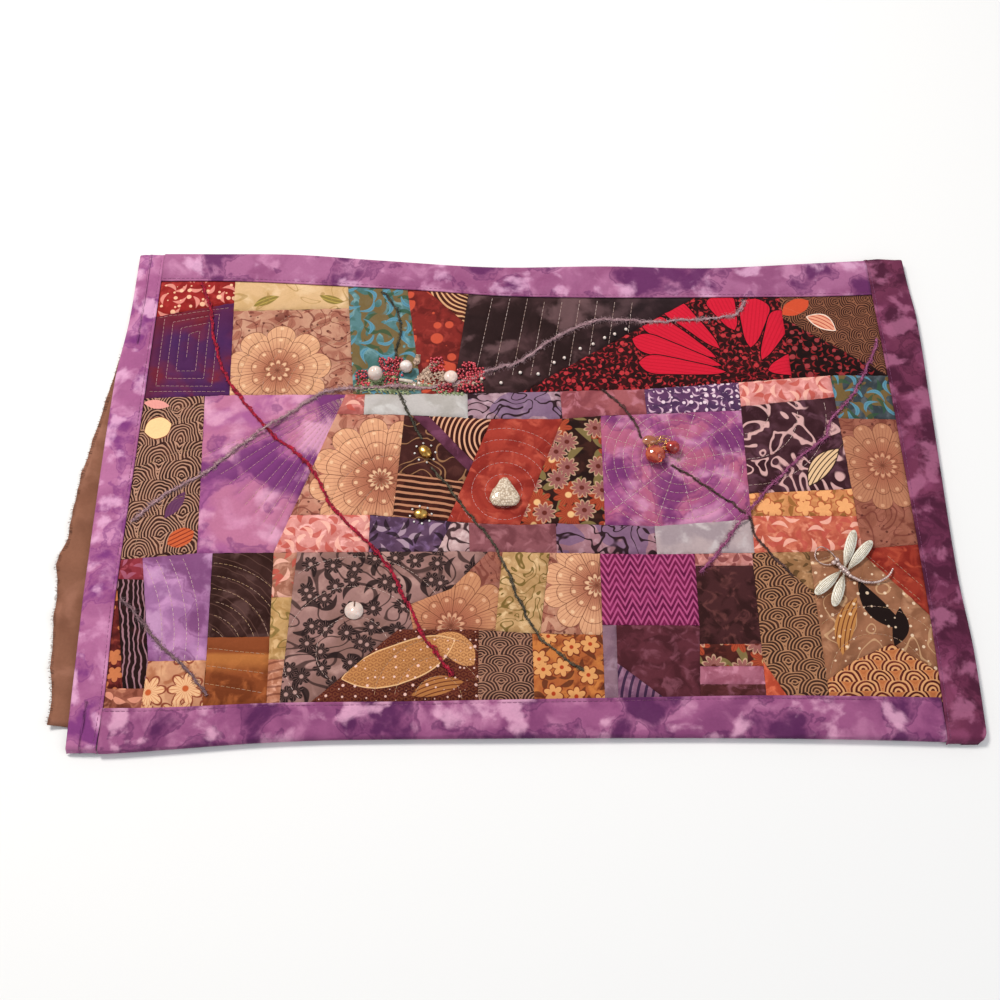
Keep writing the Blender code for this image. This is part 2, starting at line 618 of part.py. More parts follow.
def make_yarn(name, radius, colour, points, crossings):
    """A round yarn lying on the patches, lifted where it passes over another."""
    route = smooth_route(points, YARN_STEP)
    curve = bpy.data.curves.new(name, "CURVE")
    curve.dimensions = "3D"
    curve.bevel_depth = radius * MM
    curve.bevel_resolution = 1
    curve.use_fill_caps = True
    spline = curve.splines.new("POLY")
    spline.points.add(len(route) - 1)
    for point, (u, v) in zip(spline.points, route):
        lift = 0.0
        for crossing in crossings:
            away = (math.dist((u, v), crossing) - CROSSING_FLAT) / CROSSING_RUN
            away = min(max(away, 0.0), 1.0)
            lift = max(lift, (2 * radius + GAP) * (1 - away * away * (3 - 2 * away)))
        height = PATCH_TOP + swell(u, v) + GAP + radius + lift
        point.co = (*place(u, v, height), 1.0)
    curve.materials.append(finish_material(name, colour, 0.9))
    thing = bpy.data.objects.new(name, curve)
    bpy.context.collection.objects.link(thing)


def oval(bm, at, half, turn, segments=12, rings=8):
    """An oval bead whose lowest point lies just above the patches."""
    u, v = at
    height = PATCH_TOP + swell(u, v) + GAP + half[2]
    size = Matrix.Diagonal((half[0] * MM, half[1] * MM, half[2] * MM, 1.0))
    matrix = Matrix.Translation(place(u, v, height)) @ Matrix.Rotation(math.radians(turn), 4, "Z") @ size
    return bmesh.ops.create_uvsphere(bm, u_segments=segments, v_segments=rings, radius=1.0,
                                     matrix=matrix)["verts"]


def make_trimmings():
    for name, u, v, length, width, height, turn, colour, roughness, metallic in TRIMMINGS:
        bm = bmesh.new()
        oval(bm, (u, v), (length, width, height), turn)
        new_object(name, bm, finish_material(name, colour, roughness, metallic))


def make_stone():
    bm = bmesh.new()
    for vert in oval(bm, STONE_AT, STONE_HALF, 0, 14, 8):
        centre = place(*STONE_AT, 0)
        along = (vert.co.y - centre.y) / (STONE_HALF[1] * MM)
        vert.co.x = centre.x + (vert.co.x - centre.x) * (1 - STONE_TAPER * along)
    new_object("stone_nugget", bm, finish_material("stone_nugget", (0.62, 0.52, 0.42), 0.5))


def make_dragonfly():
    """Thorax with four flat wings, a head and a curved tail, joined into one casting."""
    material = finish_material("dragonfly_charm", (0.72, 0.68, 0.58), 0.35, 1.0)
    bm = bmesh.new()
    oval(bm, THORAX_AT, THORAX_HALF, THORAX_TURN, 12, 8)
    charm = new_object("dragonfly_charm", bm, material)
    for number, (root, tip) in enumerate(WINGS):
        bm = bmesh.new()
        ring = bmesh.ops.create_circle(bm, cap_ends=True, segments=14, radius=1.0)["verts"]
        length = math.dist(root, tip) / 2
        turn = math.atan2(tip[1] - root[1], tip[0] - root[0])
        centre = middle(root, tip)
        height = PATCH_TOP + swell(*centre) + GAP + 0.5
        for vert in ring:
            vert.co.x *= length * MM
            vert.co.y *= WING_HALF_WIDTH * MM * (1 + 0.25 * vert.co.x / (length * MM))
        matrix = Matrix.Translation(place(*centre, height)) @ Matrix.Rotation(turn, 4, "Z")
        bmesh.ops.transform(bm, matrix=matrix, verts=ring)
        rise = bmesh.ops.extrude_face_region(bm, geom=list(bm.faces))["geom"]
        for vert in (item for item in rise if isinstance(item, bmesh.types.BMVert)):
            vert.co.z += WING_THICK * MM
        join(charm, new_object("wing_%d_tool" % number, bm, material))
    bm = bmesh.new()
    oval(bm, HEAD_AT, (HEAD_RADIUS, HEAD_RADIUS, HEAD_RADIUS), 0, 10, 6)
    join(charm, new_object("head_tool", bm, material))
    join(charm, make_tail(material))


def make_tail(material):
    """The thin curved tail, a tapering row of rings bridged to a tube."""
    bm = bmesh.new()
    route = smooth_route(TAIL, 3.5)
    rings = []
    for k, (u, v) in enumerate(route):
        ahead = route[min(k + 1, len(route) - 1)] - route[max(k - 1, 0)]
        turn = math.atan2(ahead.y, ahead.x)
        taper = 1.0 - 0.55 * k / (len(route) - 1)
        height = PATCH_TOP + swell(u, v) + GAP + TAIL_RADIUS + 0.4
        frame = (Matrix.Translation(place(u, v, height)) @ Matrix.Rotation(turn, 4, "Z")
                 @ Matrix.Rotation(math.pi / 2, 4, "Y"))
        ring = bmesh.ops.create_circle(bm, segments=8, radius=TAIL_RADIUS * taper * MM, matrix=frame)
        rings.append([item for item in bm.edges if item.verts[0] in ring["verts"]])
    for first, second in zip(rings, rings[1:]):
        bmesh.ops.bridge_loops(bm, edges=first + second)
    bmesh.ops.holes_fill(bm, edges=rings[0] + rings[-1])
    return new_object("tail_tool", bm, material)


def join(body, tool):
    """Union a tool with a body."""
    tool.hide_render = True
    tool.display_type = "WIRE"
    union = body.modifiers.new(tool.name, "BOOLEAN")
    union.operation = "UNION"
    union.solver = "MANIFOLD"
    union.object = tool


clear_scene()
make_backing(finish_material("backing_cotton", (0.16, 0.09, 0.055), 0.9))
make_panel(finish_material("pieced_cotton", (0.2, 0.07, 0.12), 0.85))
make_bindings(finish_material("binding_batik", (0.3, 0.08, 0.33), 0.85))
for yarn in YARNS:
    make_yarn(*yarn)
make_trimmings()
make_stone()
make_dragonfly()
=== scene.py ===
import inspect
import math
import random

import bmesh
import bpy
from mathutils import Matrix, Vector, noise
from mathutils.bvhtree import BVHTree
from mathutils.kdtree import KDTree


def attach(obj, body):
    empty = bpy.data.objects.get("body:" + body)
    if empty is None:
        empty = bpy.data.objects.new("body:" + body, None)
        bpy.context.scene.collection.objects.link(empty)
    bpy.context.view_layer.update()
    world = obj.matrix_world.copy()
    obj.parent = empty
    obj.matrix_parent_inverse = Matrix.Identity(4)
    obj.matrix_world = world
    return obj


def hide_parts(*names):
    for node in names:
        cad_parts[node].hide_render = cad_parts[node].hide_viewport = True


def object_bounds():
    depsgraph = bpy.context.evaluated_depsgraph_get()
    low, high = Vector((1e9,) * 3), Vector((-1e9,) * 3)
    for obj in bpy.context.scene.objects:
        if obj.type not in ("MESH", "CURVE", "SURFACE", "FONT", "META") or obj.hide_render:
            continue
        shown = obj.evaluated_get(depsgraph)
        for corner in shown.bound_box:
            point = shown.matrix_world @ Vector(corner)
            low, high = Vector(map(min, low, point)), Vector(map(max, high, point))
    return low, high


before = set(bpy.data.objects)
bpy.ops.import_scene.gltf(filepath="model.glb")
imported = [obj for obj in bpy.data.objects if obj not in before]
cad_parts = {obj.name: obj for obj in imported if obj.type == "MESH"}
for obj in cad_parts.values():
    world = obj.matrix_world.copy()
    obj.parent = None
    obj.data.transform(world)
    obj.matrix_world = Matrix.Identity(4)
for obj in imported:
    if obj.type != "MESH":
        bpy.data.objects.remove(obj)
cad_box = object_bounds()


# Camera, floor and light
# A hand-held photograph from above the quilt's near side, on a plain pale floor, lit by one
# large soft lamp and a paler fill. Angles are degrees.
PITCH = math.radians(63.75)
YAW = math.radians(2.08)
ROLL = math.radians(1.81)
level_right = Vector((math.cos(YAW), -math.sin(YAW), 0.0))
ahead = Vector((math.sin(YAW) * math.cos(PITCH), math.cos(YAW) * math.cos(PITCH), -math.sin(PITCH)))
level_up = level_right.cross(ahead)
camera_right = math.cos(ROLL) * level_right + math.sin(ROLL) * level_up
camera_up = math.cos(ROLL) * level_up - math.sin(ROLL) * level_right
camera = bpy.data.objects.new("camera", bpy.data.cameras.new("camera"))
camera.data.lens = 45.0
camera.data.sensor_width = 36.0
camera.data.clip_start = 0.02
camera.matrix_world = Matrix.Translation((-0.0202, -0.369, 0.722)) @ Matrix(
    (camera_right, camera_up, -ahead)).transposed().to_4x4()
bpy.context.collection.objects.link(camera)
bpy.context.scene.camera = camera


def dye(code):
    """A colour from its six-figure code."""
    parts = [int(code[i:i + 2], 16) / 255 for i in (0, 2, 4)]
    return (*[c / 12.92 if c <= 0.04045 else ((c + 0.055) / 1.055) ** 2.4 for c in parts], 1.0)


def plain_finish(name, code, roughness=0.8, metallic=0.0, **more):
    """A material with its shader's main values set; gives back the material, tree and shader."""
    made = bpy.data.materials.new(name)
    made.use_nodes = True
    shader = made.node_tree.nodes["Principled BSDF"]
    values = {"Base_Color": dye(code), "Roughness": roughness, "Metallic": metallic, **more}
    for label, value in values.items():
        shader.inputs[label.replace("_", " ")].default_value = value
    return made, made.node_tree, shader


def area_lamp(name, at, aim, size, power, code):
    lamp = bpy.data.lights.new(name, "AREA")
    lamp.shape = "DISK"
    lamp.size = size
    lamp.energy = power
    lamp.color = dye(code)[:3]
    made = bpy.data.objects.new(name, lamp)
    direction = Vector(aim) - Vector(at)
    made.matrix_world = Matrix.Translation(at) @ direction.to_track_quat("-Z", "Y").to_matrix().to_4x4()
    bpy.context.collection.objects.link(made)


area_lamp("window_lamp", (-0.9, 0.9, 1.7), (0, 0, 0), 0.6, 37, "fffaf5")
area_lamp("fill_lamp", (1.2, -0.7, 1.5), (0, 0, 0), 1.4, 8, "f7f8ff")
world = bpy.data.worlds.new("room")
world.use_nodes = True
world.node_tree.nodes["Background"].inputs["Color"].default_value = (0.97, 1.0, 1.05, 1.0)
world.node_tree.nodes["Background"].inputs["Strength"].default_value = 0.47
bpy.context.scene.world = world
bpy.context.scene.view_settings.view_transform = "Standard"

bm = bmesh.new()
bmesh.ops.create_grid(bm, x_segments=1, y_segments=1, size=4.0,
                      matrix=Matrix.Translation((0, 0, -0.0003)))
floor = bpy.data.objects.new("floor", bpy.data.meshes.new("floor"))
bm.to_mesh(floor.data)
bm.free()
floor.data.materials.append(plain_finish("pale_floor", "ededeb", 0.9)[0])
bpy.context.collection.objects.link(floor)


# Backing cloth
# One piece of plain brown cotton under the whole quilt. Its left side comes out past the
# binding with a raw edge, lies loose there and is lightly creased.
CENTRE_U = 260.0
CENTRE_V = 177.0
MM = 0.001
ORIGIN = (0.0, 0.0, 0.0)
BACKING_TUCK = 14.3
TOP_EDGE = ((-25, 355.5), (50, 355.5), (110, 355.3), (170, 350.5), (250, 344.5), (330, 345.8),
            (400, 344.5), (480, 348.8), (543, 353))
BOTTOM_EDGE = ((-25, -1.5), (20, -1.5), (60, 1), (110, 4.5), (160, 6.2), (350, 6.6), (450, 5.4),
               (510, 3.6), (543, 2))
LEFT_EDGE = ((-2, -1), (50, -2.6), (110, -4.2), (250, -4.4), (300, -0.6), (356, 0.4))
RIGHT_EDGE = ((2, 538.6), (60, 540.2), (110, 538.7), (220, 541.2), (300, 543), (330, 541), (354, 540))
RAW_EDGE = ((30, -14), (60, -18.5), (95, -20.8), (125, -23), (133, -19.5), (165, -18.6),
            (200, -14), (250, -6.5), (290, -0.5), (330, 8))
BACKING_FOOT = ((-23, 15.8), (-6, 15.2), (10, 13.2), (40, 14.6), (543, 16.5))


def curve_value(table, position):
    """Smooth curve through a table of position and value, level past its ends."""
    if position <= table[0][0]:
        return table[0][1]
    if position >= table[-1][0]:
        return table[-1][1]
    index = max(i for i, row in enumerate(table[:-1]) if row[0] <= position)
    (x0, y0), (x1, y1) = table[index], table[index + 1]
    before = table[max(index - 1, 0)]
    after = table[min(index + 2, len(table) - 1)]
    slope_0 = (y1 - before[1]) / (x1 - before[0])
    slope_1 = (after[1] - y0) / (after[0] - x0)
    t = (position - x0) / (x1 - x0)
    bend_0 = t * (1 - t) ** 2 * (x1 - x0) * slope_0
    bend_1 = -t * t * (1 - t) * (x1 - x0) * slope_1
    return y0 * (1 + 2 * t) * (1 - t) ** 2 + y1 * t * t * (3 - 2 * t) + bend_0 + bend_1


def place(u, v, z):
    """A point of the quilt, from millimetres on the flat quilt to the model's metres."""
    return Vector(((u - CENTRE_U) * MM, (v - CENTRE_V) * MM, z * MM))


def new_piece(name, bm, material, stands_for=()):
    """A finished piece from a mesh in metres, riding with the quilt."""
    for face in bm.faces:
        face.smooth = True
    mesh = bpy.data.meshes.new(name)
    bm.to_mesh(mesh)
    bm.free()
    mesh.materials.append(material)
    made = bpy.data.objects.new(name, mesh)
    bpy.context.collection.objects.link(made)
    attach(made, "root")
    if stands_for:
        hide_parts(*stands_for)
    return made


def thicken(piece, thickness):
    wall = piece.modifiers.new("cloth", "SOLIDIFY")
    wall.thickness = thickness * MM
    wall.offset = -1.0


class Shade:
    """A number, place or colour that changes over a piece; sums and products add shader nodes."""

    def __init__(self, socket):
        self.socket = socket

    def __add__(self, other):
        return calc("ADD", self, other)

    def __sub__(self, other):
        return calc("SUBTRACT", self, other)

    def __rsub__(self, other):
        return calc("SUBTRACT", other, self)

    def __mul__(self, other):
        return calc("MULTIPLY", self, other)

    def __truediv__(self, other):
        return calc("DIVIDE", self, other)

    def __rtruediv__(self, other):
        return calc("DIVIDE", other, self)

    def __abs__(self):
        return calc("ABSOLUTE", self)


def feed(socket, value):
    """Joins a shade to a node's input, or sets the input to a plain value."""
    if isinstance(value, Shade):
        socket.id_data.links.new(value.socket, socket)
    elif value is not None:
        socket.default_value = value


def put(kind, *values, **settings):
    """A node beside its first shade, with its settings made and its inputs filled in order."""
    beside = next(value for value in values if isinstance(value, Shade))
    made = beside.socket.id_data.nodes.new("ShaderNode" + kind)
    for key, value in settings.items():
        setattr(made, key, value)
    for socket, value in zip(made.inputs, values):
        feed(socket, value)
    return made


def calc(operation, *values):
    return Shade(put("Math", *values, operation=operation).outputs[0])


def move(operation, *values):
    return Shade(put("VectorMath", *values, operation=operation).outputs[0])


def apart(place):
    """x and y of a place."""
    x, y, _ = put("SeparateXYZ", place).outputs
    return Shade(x), Shade(y)


def soft_step(value, low, high, start=0.0, end=1.0, how="SMOOTHSTEP"):
    """The start below the first value, the end above the second."""
    return Shade(put("MapRange", value, low, high, start, end, interpolation_type=how).outputs[0])


def soft_drop(value, low, high):
    return 1.0 - soft_step(value, low, high)


def cloud(place, size, detail=2.0, distortion=0.0):
    made = put("TexNoise", place)
    for label, value in (("Scale", 1.0 / size), ("Detail", detail), ("Distortion", distortion)):
        feed(made.inputs[label], value)
    return Shade(made.outputs[0])


def blend(factor, first, second, how="MIX"):
    inputs = (factor, *[None] * 5, first, second)
    return Shade(put("Mix", *inputs, data_type="RGBA", blend_type=how).outputs[2])


class Effect:
    """A shared shader group, made from a function of shades: its arguments are the inputs, and
    what it gives back names the outputs. A call with values and inks gives layers of a print."""

    inputs = {tuple: "Vector", float: "Float", type(None): "Color"}
    outputs = {"VECTOR": "Vector", "VALUE": "Float", "RGBA": "Color"}

    def __init__(self, make):
        self.tree = bpy.data.node_groups.new(make.__name__, "ShaderNodeTree")
        new_socket = self.tree.interface.new_socket
        for name, entry in inspect.signature(make).parameters.items():
            kind = "NodeSocket" + self.inputs[type(entry.default)]
            socket = new_socket(name=name, in_out="INPUT", socket_type=kind)
            if entry.default is not None:
                socket.default_value = entry.default
        source = self.tree.nodes.new("NodeGroupInput")
        results = make(*[Shade(socket) for socket in source.outputs[:-1]])
        for name, shade in results.items():
            kind = "NodeSocket" + self.outputs[shade.socket.type]
            new_socket(name=name, in_out="OUTPUT", socket_type=kind)
        sink = self.tree.nodes.new("NodeGroupOutput")
        for name, shade in results.items():
            feed(sink.inputs[name], shade)

    def over(self, place, **values):
        """The group's outputs at a place, by name."""
        made = place.socket.id_data.nodes.new("ShaderNodeGroup")
        made.node_tree = self.tree
        for name, value in {"place": place, **values}.items():
            feed(made.inputs[name], value)
        return {output.name: Shade(output) for output in made.outputs}

    def __call__(self, **columns):
        """One layer for each output that is given an ink, a colour and its strength."""
        values = {name: value for name, value in columns.items() if name.islower()}
        inks = {name: ink for name, ink in columns.items() if name not in values}
        return [(self, name, *ink, values) for name, ink in inks.items()]


def millimetres(tree, flat=True):
    """Millimetres on the quilt from the Object coordinates."""
    where = Shade(tree.nodes.new("ShaderNodeTexCoord").outputs["Object"])
    scale = (1 / MM, 1 / MM, 0.0 if flat else 1 / MM)
    return move("MULTIPLY_ADD", where, scale, (CENTRE_U, CENTRE_V, 0.0))


def raise_surface(shader, height, strength, depth=0.0002):
    """Small relief on a finish, from a shade."""
    bump = shader.id_data.nodes.new("ShaderNodeBump")
    for label, value in (("Strength", strength), ("Distance", depth), ("Height", height)):
        feed(bump.inputs[label], value)
    feed(shader.inputs["Normal"], Shade(bump.outputs[0]))


@Effect
def plain_weave(place=ORIGIN, thread=0.42):
    """Crossing threads with slubs, and where the threads lie low."""
    x, y = apart(move("DIVIDE", place, thread))
    crossing = abs(calc("SINE", x * math.pi)) * abs(calc("SINE", y * math.pi))
    slub = cloud(place, 1.6, 3.0)
    return {"Height": slub * 0.7 + crossing, "Tone": slub * 0.22 + 0.89}


@Effect
def marbled_dye(place=ORIGIN, size=30.0, run=0.8, first=None, second=None, third=None):
    """Three colours that run into each other in clouds."""
    wide = cloud(place, size, 5.0, run)
    fine = cloud(move("ADD", place, (371.0, 129.0, 0.0)), size * 0.55, 6.0, run)
    mixed = blend(soft_step(wide, 0.42, 0.6), first, second)
    return {"Color": blend(soft_step(fine, 0.5, 0.68), mixed, third)}


def cotton(name, codes, size=30.0, run=0.8, layers=(), relief=0.25):
    """Dyed or printed cotton: marbled ground, printed layers over it, and a plain weave."""
    first, second, third = codes.split()
    made, tree, shader = plain_finish(name, first, 0.86, Sheen_Weight=0.03, Specular_IOR_Level=0.15)
    at = millimetres(tree)
    colour = marbled_dye.over(at, size=size, run=run, first=dye(first), second=dye(second),
                              third=dye(third))["Color"]
    for effect, output, code, strength, values in layers:
        colour = blend(effect.over(at, **values)[output] * strength, colour, dye(code))
    weave = plain_weave.over(at)
    deep = Shade(put("Gamma", colour, 1.17).outputs[0])
    shade = Shade(put("CombineColor", *[weave["Tone"]] * 3).outputs[0])
    feed(shader.inputs["Base Color"], blend(1.0, deep, shade, "MULTIPLY"))
    raise_surface(shader, weave["Height"], relief)
    return made


def backing_height(u, v):
    """Height of the backing: level under the quilt, loose and creased beside it."""
    loose = min(max((curve_value(LEFT_EDGE, v) - 0.5 - u) / 16, 0.0), 1.2)
    crease = math.sin((v + 0.5 * u) / 5.2 + 2.2 * noise.noise(Vector((u / 15, v / 24, 3)))) ** 3
    return 0.75 + max(loose * (1.4 + 3.1 * crease + 2.4 * noise.noise(Vector((u / 9, v / 21, 5)))), 0.0)


brown_cotton = cotton("brown_cotton", "966a55 8a5f4b a17460", 45, 0.4)
bm = bmesh.new()
bmesh.ops.create_grid(bm, x_segments=130, y_segments=84, size=0.5)
for vert in bm.verts:
    across = vert.co.x + 0.5
    along = vert.co.y + 0.5
    v = curve_value(BACKING_FOOT, 540 * across - 20) * (1 - along) + 335 * along
    left = curve_value(RAW_EDGE, v) + 0.5 * noise.noise(Vector((0, v / 1.7, 0)))
    right = curve_value(RIGHT_EDGE, v) - BACKING_TUCK
    u = left * (1 - across) + right * across
    v = curve_value(BACKING_FOOT, u) * (1 - along) + (curve_value(TOP_EDGE, u) - BACKING_TUCK) * along
    vert.co = place(u, v, backing_height(u, v))
backing = new_piece("brown_backing", bm, brown_cotton, ("backing_cloth",))
thicken(backing, 0.45)


# Patches
# Pieces of printed and batik cotton, sewn edge to edge in courses, laid on padding and sewn
# through, so that each stands up softly between its seams and stitched lines.
PANEL_TOP = 4.3
BINDING_TOP = 5.6
SWELL = 0.3
PATCH_TUCK = 2.5
TOP_SEAM = ((-5, 331), (70, 331.4), (140, 328), (200, 324), (250, 319.6), (300, 318.2), (400, 318.8),
            (480, 319.4), (545, 322.5))
BOTTOM_SEAM = ((-5, 25), (50, 25.2), (120, 28), (200, 28.6), (300, 30), (400, 31.5), (450, 31),
               (545, 29))
LEFT_SEAM = ((-2, 17), (30, 18), (100, 16.2), (200, 17), (356, 18.3))
RIGHT_SEAM = ((0, 514), (60, 516), (150, 516.5), (250, 515.5), (356, 513))

# Seams in sewing order: piece cut, name on the seam's left, name on its right, the seam's points
SEAMS = (
    ("panel", "row_a", "below_a",
     ((17, 237), (73, 239.5), (232, 240.7), (350, 244.3), (476, 255), (515, 255))),
    ("below_a", "middle", "row_c",
     ((17, 120.7), (63, 124.7), (233, 125.7), (350, 123.3), (446, 125), (480, 127), (515, 130))),
    ("middle", "wave_left", "middle_2", ((63, 124.7), (57, 239))),
    ("middle_2", "batik_fan", "middle_3", ((111, 125.5), (150.5, 240.2))),
    ("middle_3", "middle_4", "right_end", ((412.5, 125), (414, 250))),
    ("middle_4", "strip_1", "middle_5",
     ((145.5, 225), (190, 224.4), (240, 221.5), (294, 221.3), (320, 223.6), (413.5, 228))),
    ("middle_5", "row_b", "strip_2",
     ((120, 151), (170, 151), (232.5, 145.5), (265, 144), (288, 145), (350, 142.8), (412, 147.5))),
    ("strip_1", "coral_bit", "strip_1b", ((163, 225), (163.2, 240))),
    ("strip_1b", "aqua_top", "strip_1c", ((232, 222), (231.5, 240.7))),
    ("strip_1c", "swirl_top", "strip_1d", ((294.5, 221.3), (293.5, 242))),
    ("strip_1d", "mauve_top", "splash_navy", ((350.5, 224.6), (350, 244.3))),
    ("row_b", "wing_middle", "row_b2", ((184.5, 150), (190, 224.4))),
    ("row_b2", "dark_group", "row_b3", ((219, 146.5), (247.5, 221.4))),
    ("row_b3", "rust_rings", "row_b4", ((265, 144), (294.5, 221.3))),
    ("row_b4", "night_floral", "batik_web", ((319.3, 144), (319.7, 223.5))),
    ("dark_group", "dark_upper", "bar_stripes", ((187, 181), (227.5, 175.5))),
    ("dark_upper", "arc_lines", "dark_lower", ((206.5, 223), (235, 190))),
    ("dark_lower", "purple_band", "black_plain", ((195, 224), (231, 184))),
    ("strip_2", "coral_left", "strip_2b", ((170, 127), (170, 151))),
    ("strip_2b", "periwinkle_leaf", "strip_2c", ((213, 126), (222, 146.4))),
    ("strip_2c", "white_black", "strip_2d", ((233.3, 125.7), (232.8, 145.5))),
    ("strip_2d", "dull_purple", "strip_2e", ((288, 124), (288, 145))),
    ("strip_2e", "swirl_low", "aqua_low", ((351, 123.3), (350.5, 142.8))),
    ("right_end", "right_left", "right_right", ((481, 127), (480, 169.5), (478, 222), (476.5, 255))),
    ("right_right", "teal_leaf", "wing_right", ((478, 222), (515, 221))),
    ("right_left", "pink_top", "right_left_2", ((413.5, 231), (476.5, 238))),
    ("right_left_2", "scroll_navy", "right_left_3", ((414, 166), (480, 169.5))),
    ("right_left_3", "marigold", "coral_right", ((414, 150), (481, 150))),
    ("row_a", "row_a1", "row_a2", ((73.3, 239.5), (69.3, 331.5))),
    ("row_a1", "red_berry", "spiral_batik", ((18, 302), (70, 313.5))),
    ("row_a2", "row_a3", "row_a4", ((155.5, 240.3), (148, 328))),
    ("row_a3", "cream_leaf", "wing_left", ((70, 306.5), (150, 309.5))),
    ("row_a4", "fern_teal", "row_a5", ((201, 240.6), (189.5, 325))),
    ("row_a5", "row_a6", "row_a7", ((222, 240.7), (232, 322))),
    ("row_a6", "corner_arcs", "rust_spots", ((202.5, 325), (230, 297))),
    ("row_a7", "charcoal_pearl", "row_a8", ((267, 241.5), (388, 318))),
    ("row_a8", "red_fan", "row_a9", ((450.5, 252.8), (449, 319))),
    ("row_a9", "reed_brown", "dot_night", ((450, 301), (509, 260))),
    ("row_c", "row_c1", "row_c2", ((76, 26), (75.5, 55), (72.8, 124.8))),
    ("row_c1", "row_c1a", "row_c1b", ((40, 25), (41, 54), (29.5, 121.8))),
    ("row_c1b", "lilac_lines", "peony_cream", ((41, 54), (76, 54.5))),
    ("row_c1a", "red_square", "row_c1c", ((17, 107.5), (30, 107))),
    ("row_c1c", "row_c1d", "brown_bud", ((16, 37), (41, 37))),
    ("row_c1d", "zebra", "sliver_red", ((17, 98), (28, 37))),
    ("row_c2", "row_c2a", "row_c3", ((113.5, 27.8), (110.8, 125.2))),
    ("row_c2a", "dash_brown", "golden_brown", ((75, 69), (112, 69.5))),
    ("row_c3", "row_c3a", "row_c4", ((121, 28), (125.5, 125.3))),
    ("row_c3a", "peach_slat", "row_c3b", ((111, 95), (124, 95))),
    ("row_c3b", "lime_slat", "ribbed_slat", ((112, 55), (122.5, 55))),
    ("row_c4", "row_c4a", "row_c5", ((314, 30.2), (315, 124))),
    ("row_c4a", "row_c4_up", "row_c4_low", ((139, 28), (190, 74), (239, 73.5), (272, 71), (314, 70))),
    ("row_c4_low", "gold_scale", "row_c4b", ((238.5, 28.8), (239, 73.5))),
    ("row_c4b", "shell_wave", "orange_floral", ((272, 29.6), (271.5, 71))),
    ("row_c4_up", "mauve_floral", "row_c4c", ((199, 73.9), (196, 90), (222, 100.5), (245, 125.5))),
    ("row_c4c", "wing_lower", "row_c4d", ((249, 72.7), (254, 125.2))),
    ("row_c4d", "lime_scroll", "wing_eye", ((276.5, 71), (283.5, 124.6))),
    ("row_c5", "row_c5a", "row_c6", ((371, 31), (374, 76), (374.5, 123.7))),
    ("row_c5a", "magenta_chevron", "row_c5b", ((315, 76.5), (374, 76))),
    ("row_c5b", "periwinkle_slat", "row_c5c", ((322, 30.4), (323, 76.4))),
    ("row_c5c", "maroon_plain", "shell_stripe", ((322.5, 52), (349, 30.8))),
    ("row_c6", "row_c6a", "row_c7", ((410.5, 31.4), (410.8, 124.3))),
    ("row_c6a", "stripe_peach", "row_c6b", ((374, 115.5), (411, 115.5))),
    ("row_c6b", "plum_dark", "row_c6c", ((371, 64), (410.5, 64))),
    ("row_c6c", "ember_floral", "row_c6d", ((371, 50), (410.5, 50))),
    ("row_c6d", "lilac_slat", "dark_slat", ((371, 38.7), (410.5, 38.5))),
    ("row_c7", "row_c7a", "row_c8", ((448, 31), (447, 125))),
    ("row_c7a", "row_c7b", "orange_corner", ((410.6, 53), (423, 31.2))),
    ("row_c7b", "olive_corner", "wave_dark", ((421, 124.5), (447, 97))),
    ("row_c8", "red_corner", "row_c8a", ((478, 127), (515, 84))),
    ("row_c8a", "drift_leaf", "fan_gold", ((447, 40), (466, 53), (490, 64), (516, 46))),
)

# Stitched lines, straight: patch, first line, last line, number of lines, thread
STRAIGHT_LINES = (
    ("charcoal_pearl", ((237, 255), (249.5, 322)), ((336, 255), (347, 322)), 9, "pale"),
    ("batik_fan", ((150, 238), (60, 194)), ((150, 238), (113, 127)), 10, "rose"),
    ("golden_brown", ((76, 62), (112, 58)), ((76, 40), (112, 34)), 3, "gold"),
    ("red_corner", ((484, 122), (514, 90)), ((496, 122), (516, 100)), 2, "gold"),
    ("spiral_batik", ((20, 301), (70, 310)), ((20, 242), (72, 242)), 2, "rose"),
)
# Stitched rings: patch, centre, first radius, last radius, number, thread
RING_LINES = (
    ("rust_rings", (255, 168), 12, 46, 5, "rose"),
    ("dash_brown", (70, 58), 18, 60, 6, "gold"),
    ("batik_web", (369, 190), 6, 54, 9, "pale"),
    ("wave_left", (64, 127), 40, 104, 3, "gold"),
    ("lilac_lines", (-60, 60), 108, 130, 4, "pale"),
    ("mauve_floral", (163, 60), 22, 62, 3, "pale"),
    ("gold_scale", (215, 30), 14, 38, 3, "gold"),
    ("drift_leaf", (480, 40), 30, 84, 4, "gold"),
    ("scroll_navy", (414, 228), 18, 56, 3, "pale"),
    ("wing_middle", (186, 152), 22, 62, 3, "gold"),
    ("wing_left", (152, 242), 24, 74, 4, "gold"),
)
WEB_CENTRE = (369, 190)
WEB_SPOKES = 12
SPIRAL = ((24, 300), (24, 246), (61, 246), (61, 304), (30, 297), (30, 252), (55, 252), (55, 297),
          (36, 292), (36, 258), (49, 258), (49, 290), (42, 287), (42, 266))


def cross(a, b):
    return a[0] * b[1] - a[1] * b[0]


def boundary_hit(polygon, start, toward):
    """Where the ray from start through toward first leaves the polygon: edge number and point."""
    ray = (toward[0] - start[0], toward[1] - start[1])
    best = None
    for i, p in enumerate(polygon):
        q = polygon[(i + 1) % len(polygon)]
        side = (q[0] - p[0], q[1] - p[1])
        turn = cross(ray, side)
        if abs(turn) < 1e-12:
            continue
        gap = (p[0] - start[0], p[1] - start[1])
        along = cross(gap, side) / turn
        across = cross(gap, ray) / turn
        if along > 1e-9 and -1e-9 <= across <= 1 + 1e-9 and (best is None or along < best[0]):
            best = (along, i, (start[0] + ray[0] * along, start[1] + ray[1] * along))
    return best[1], best[2]


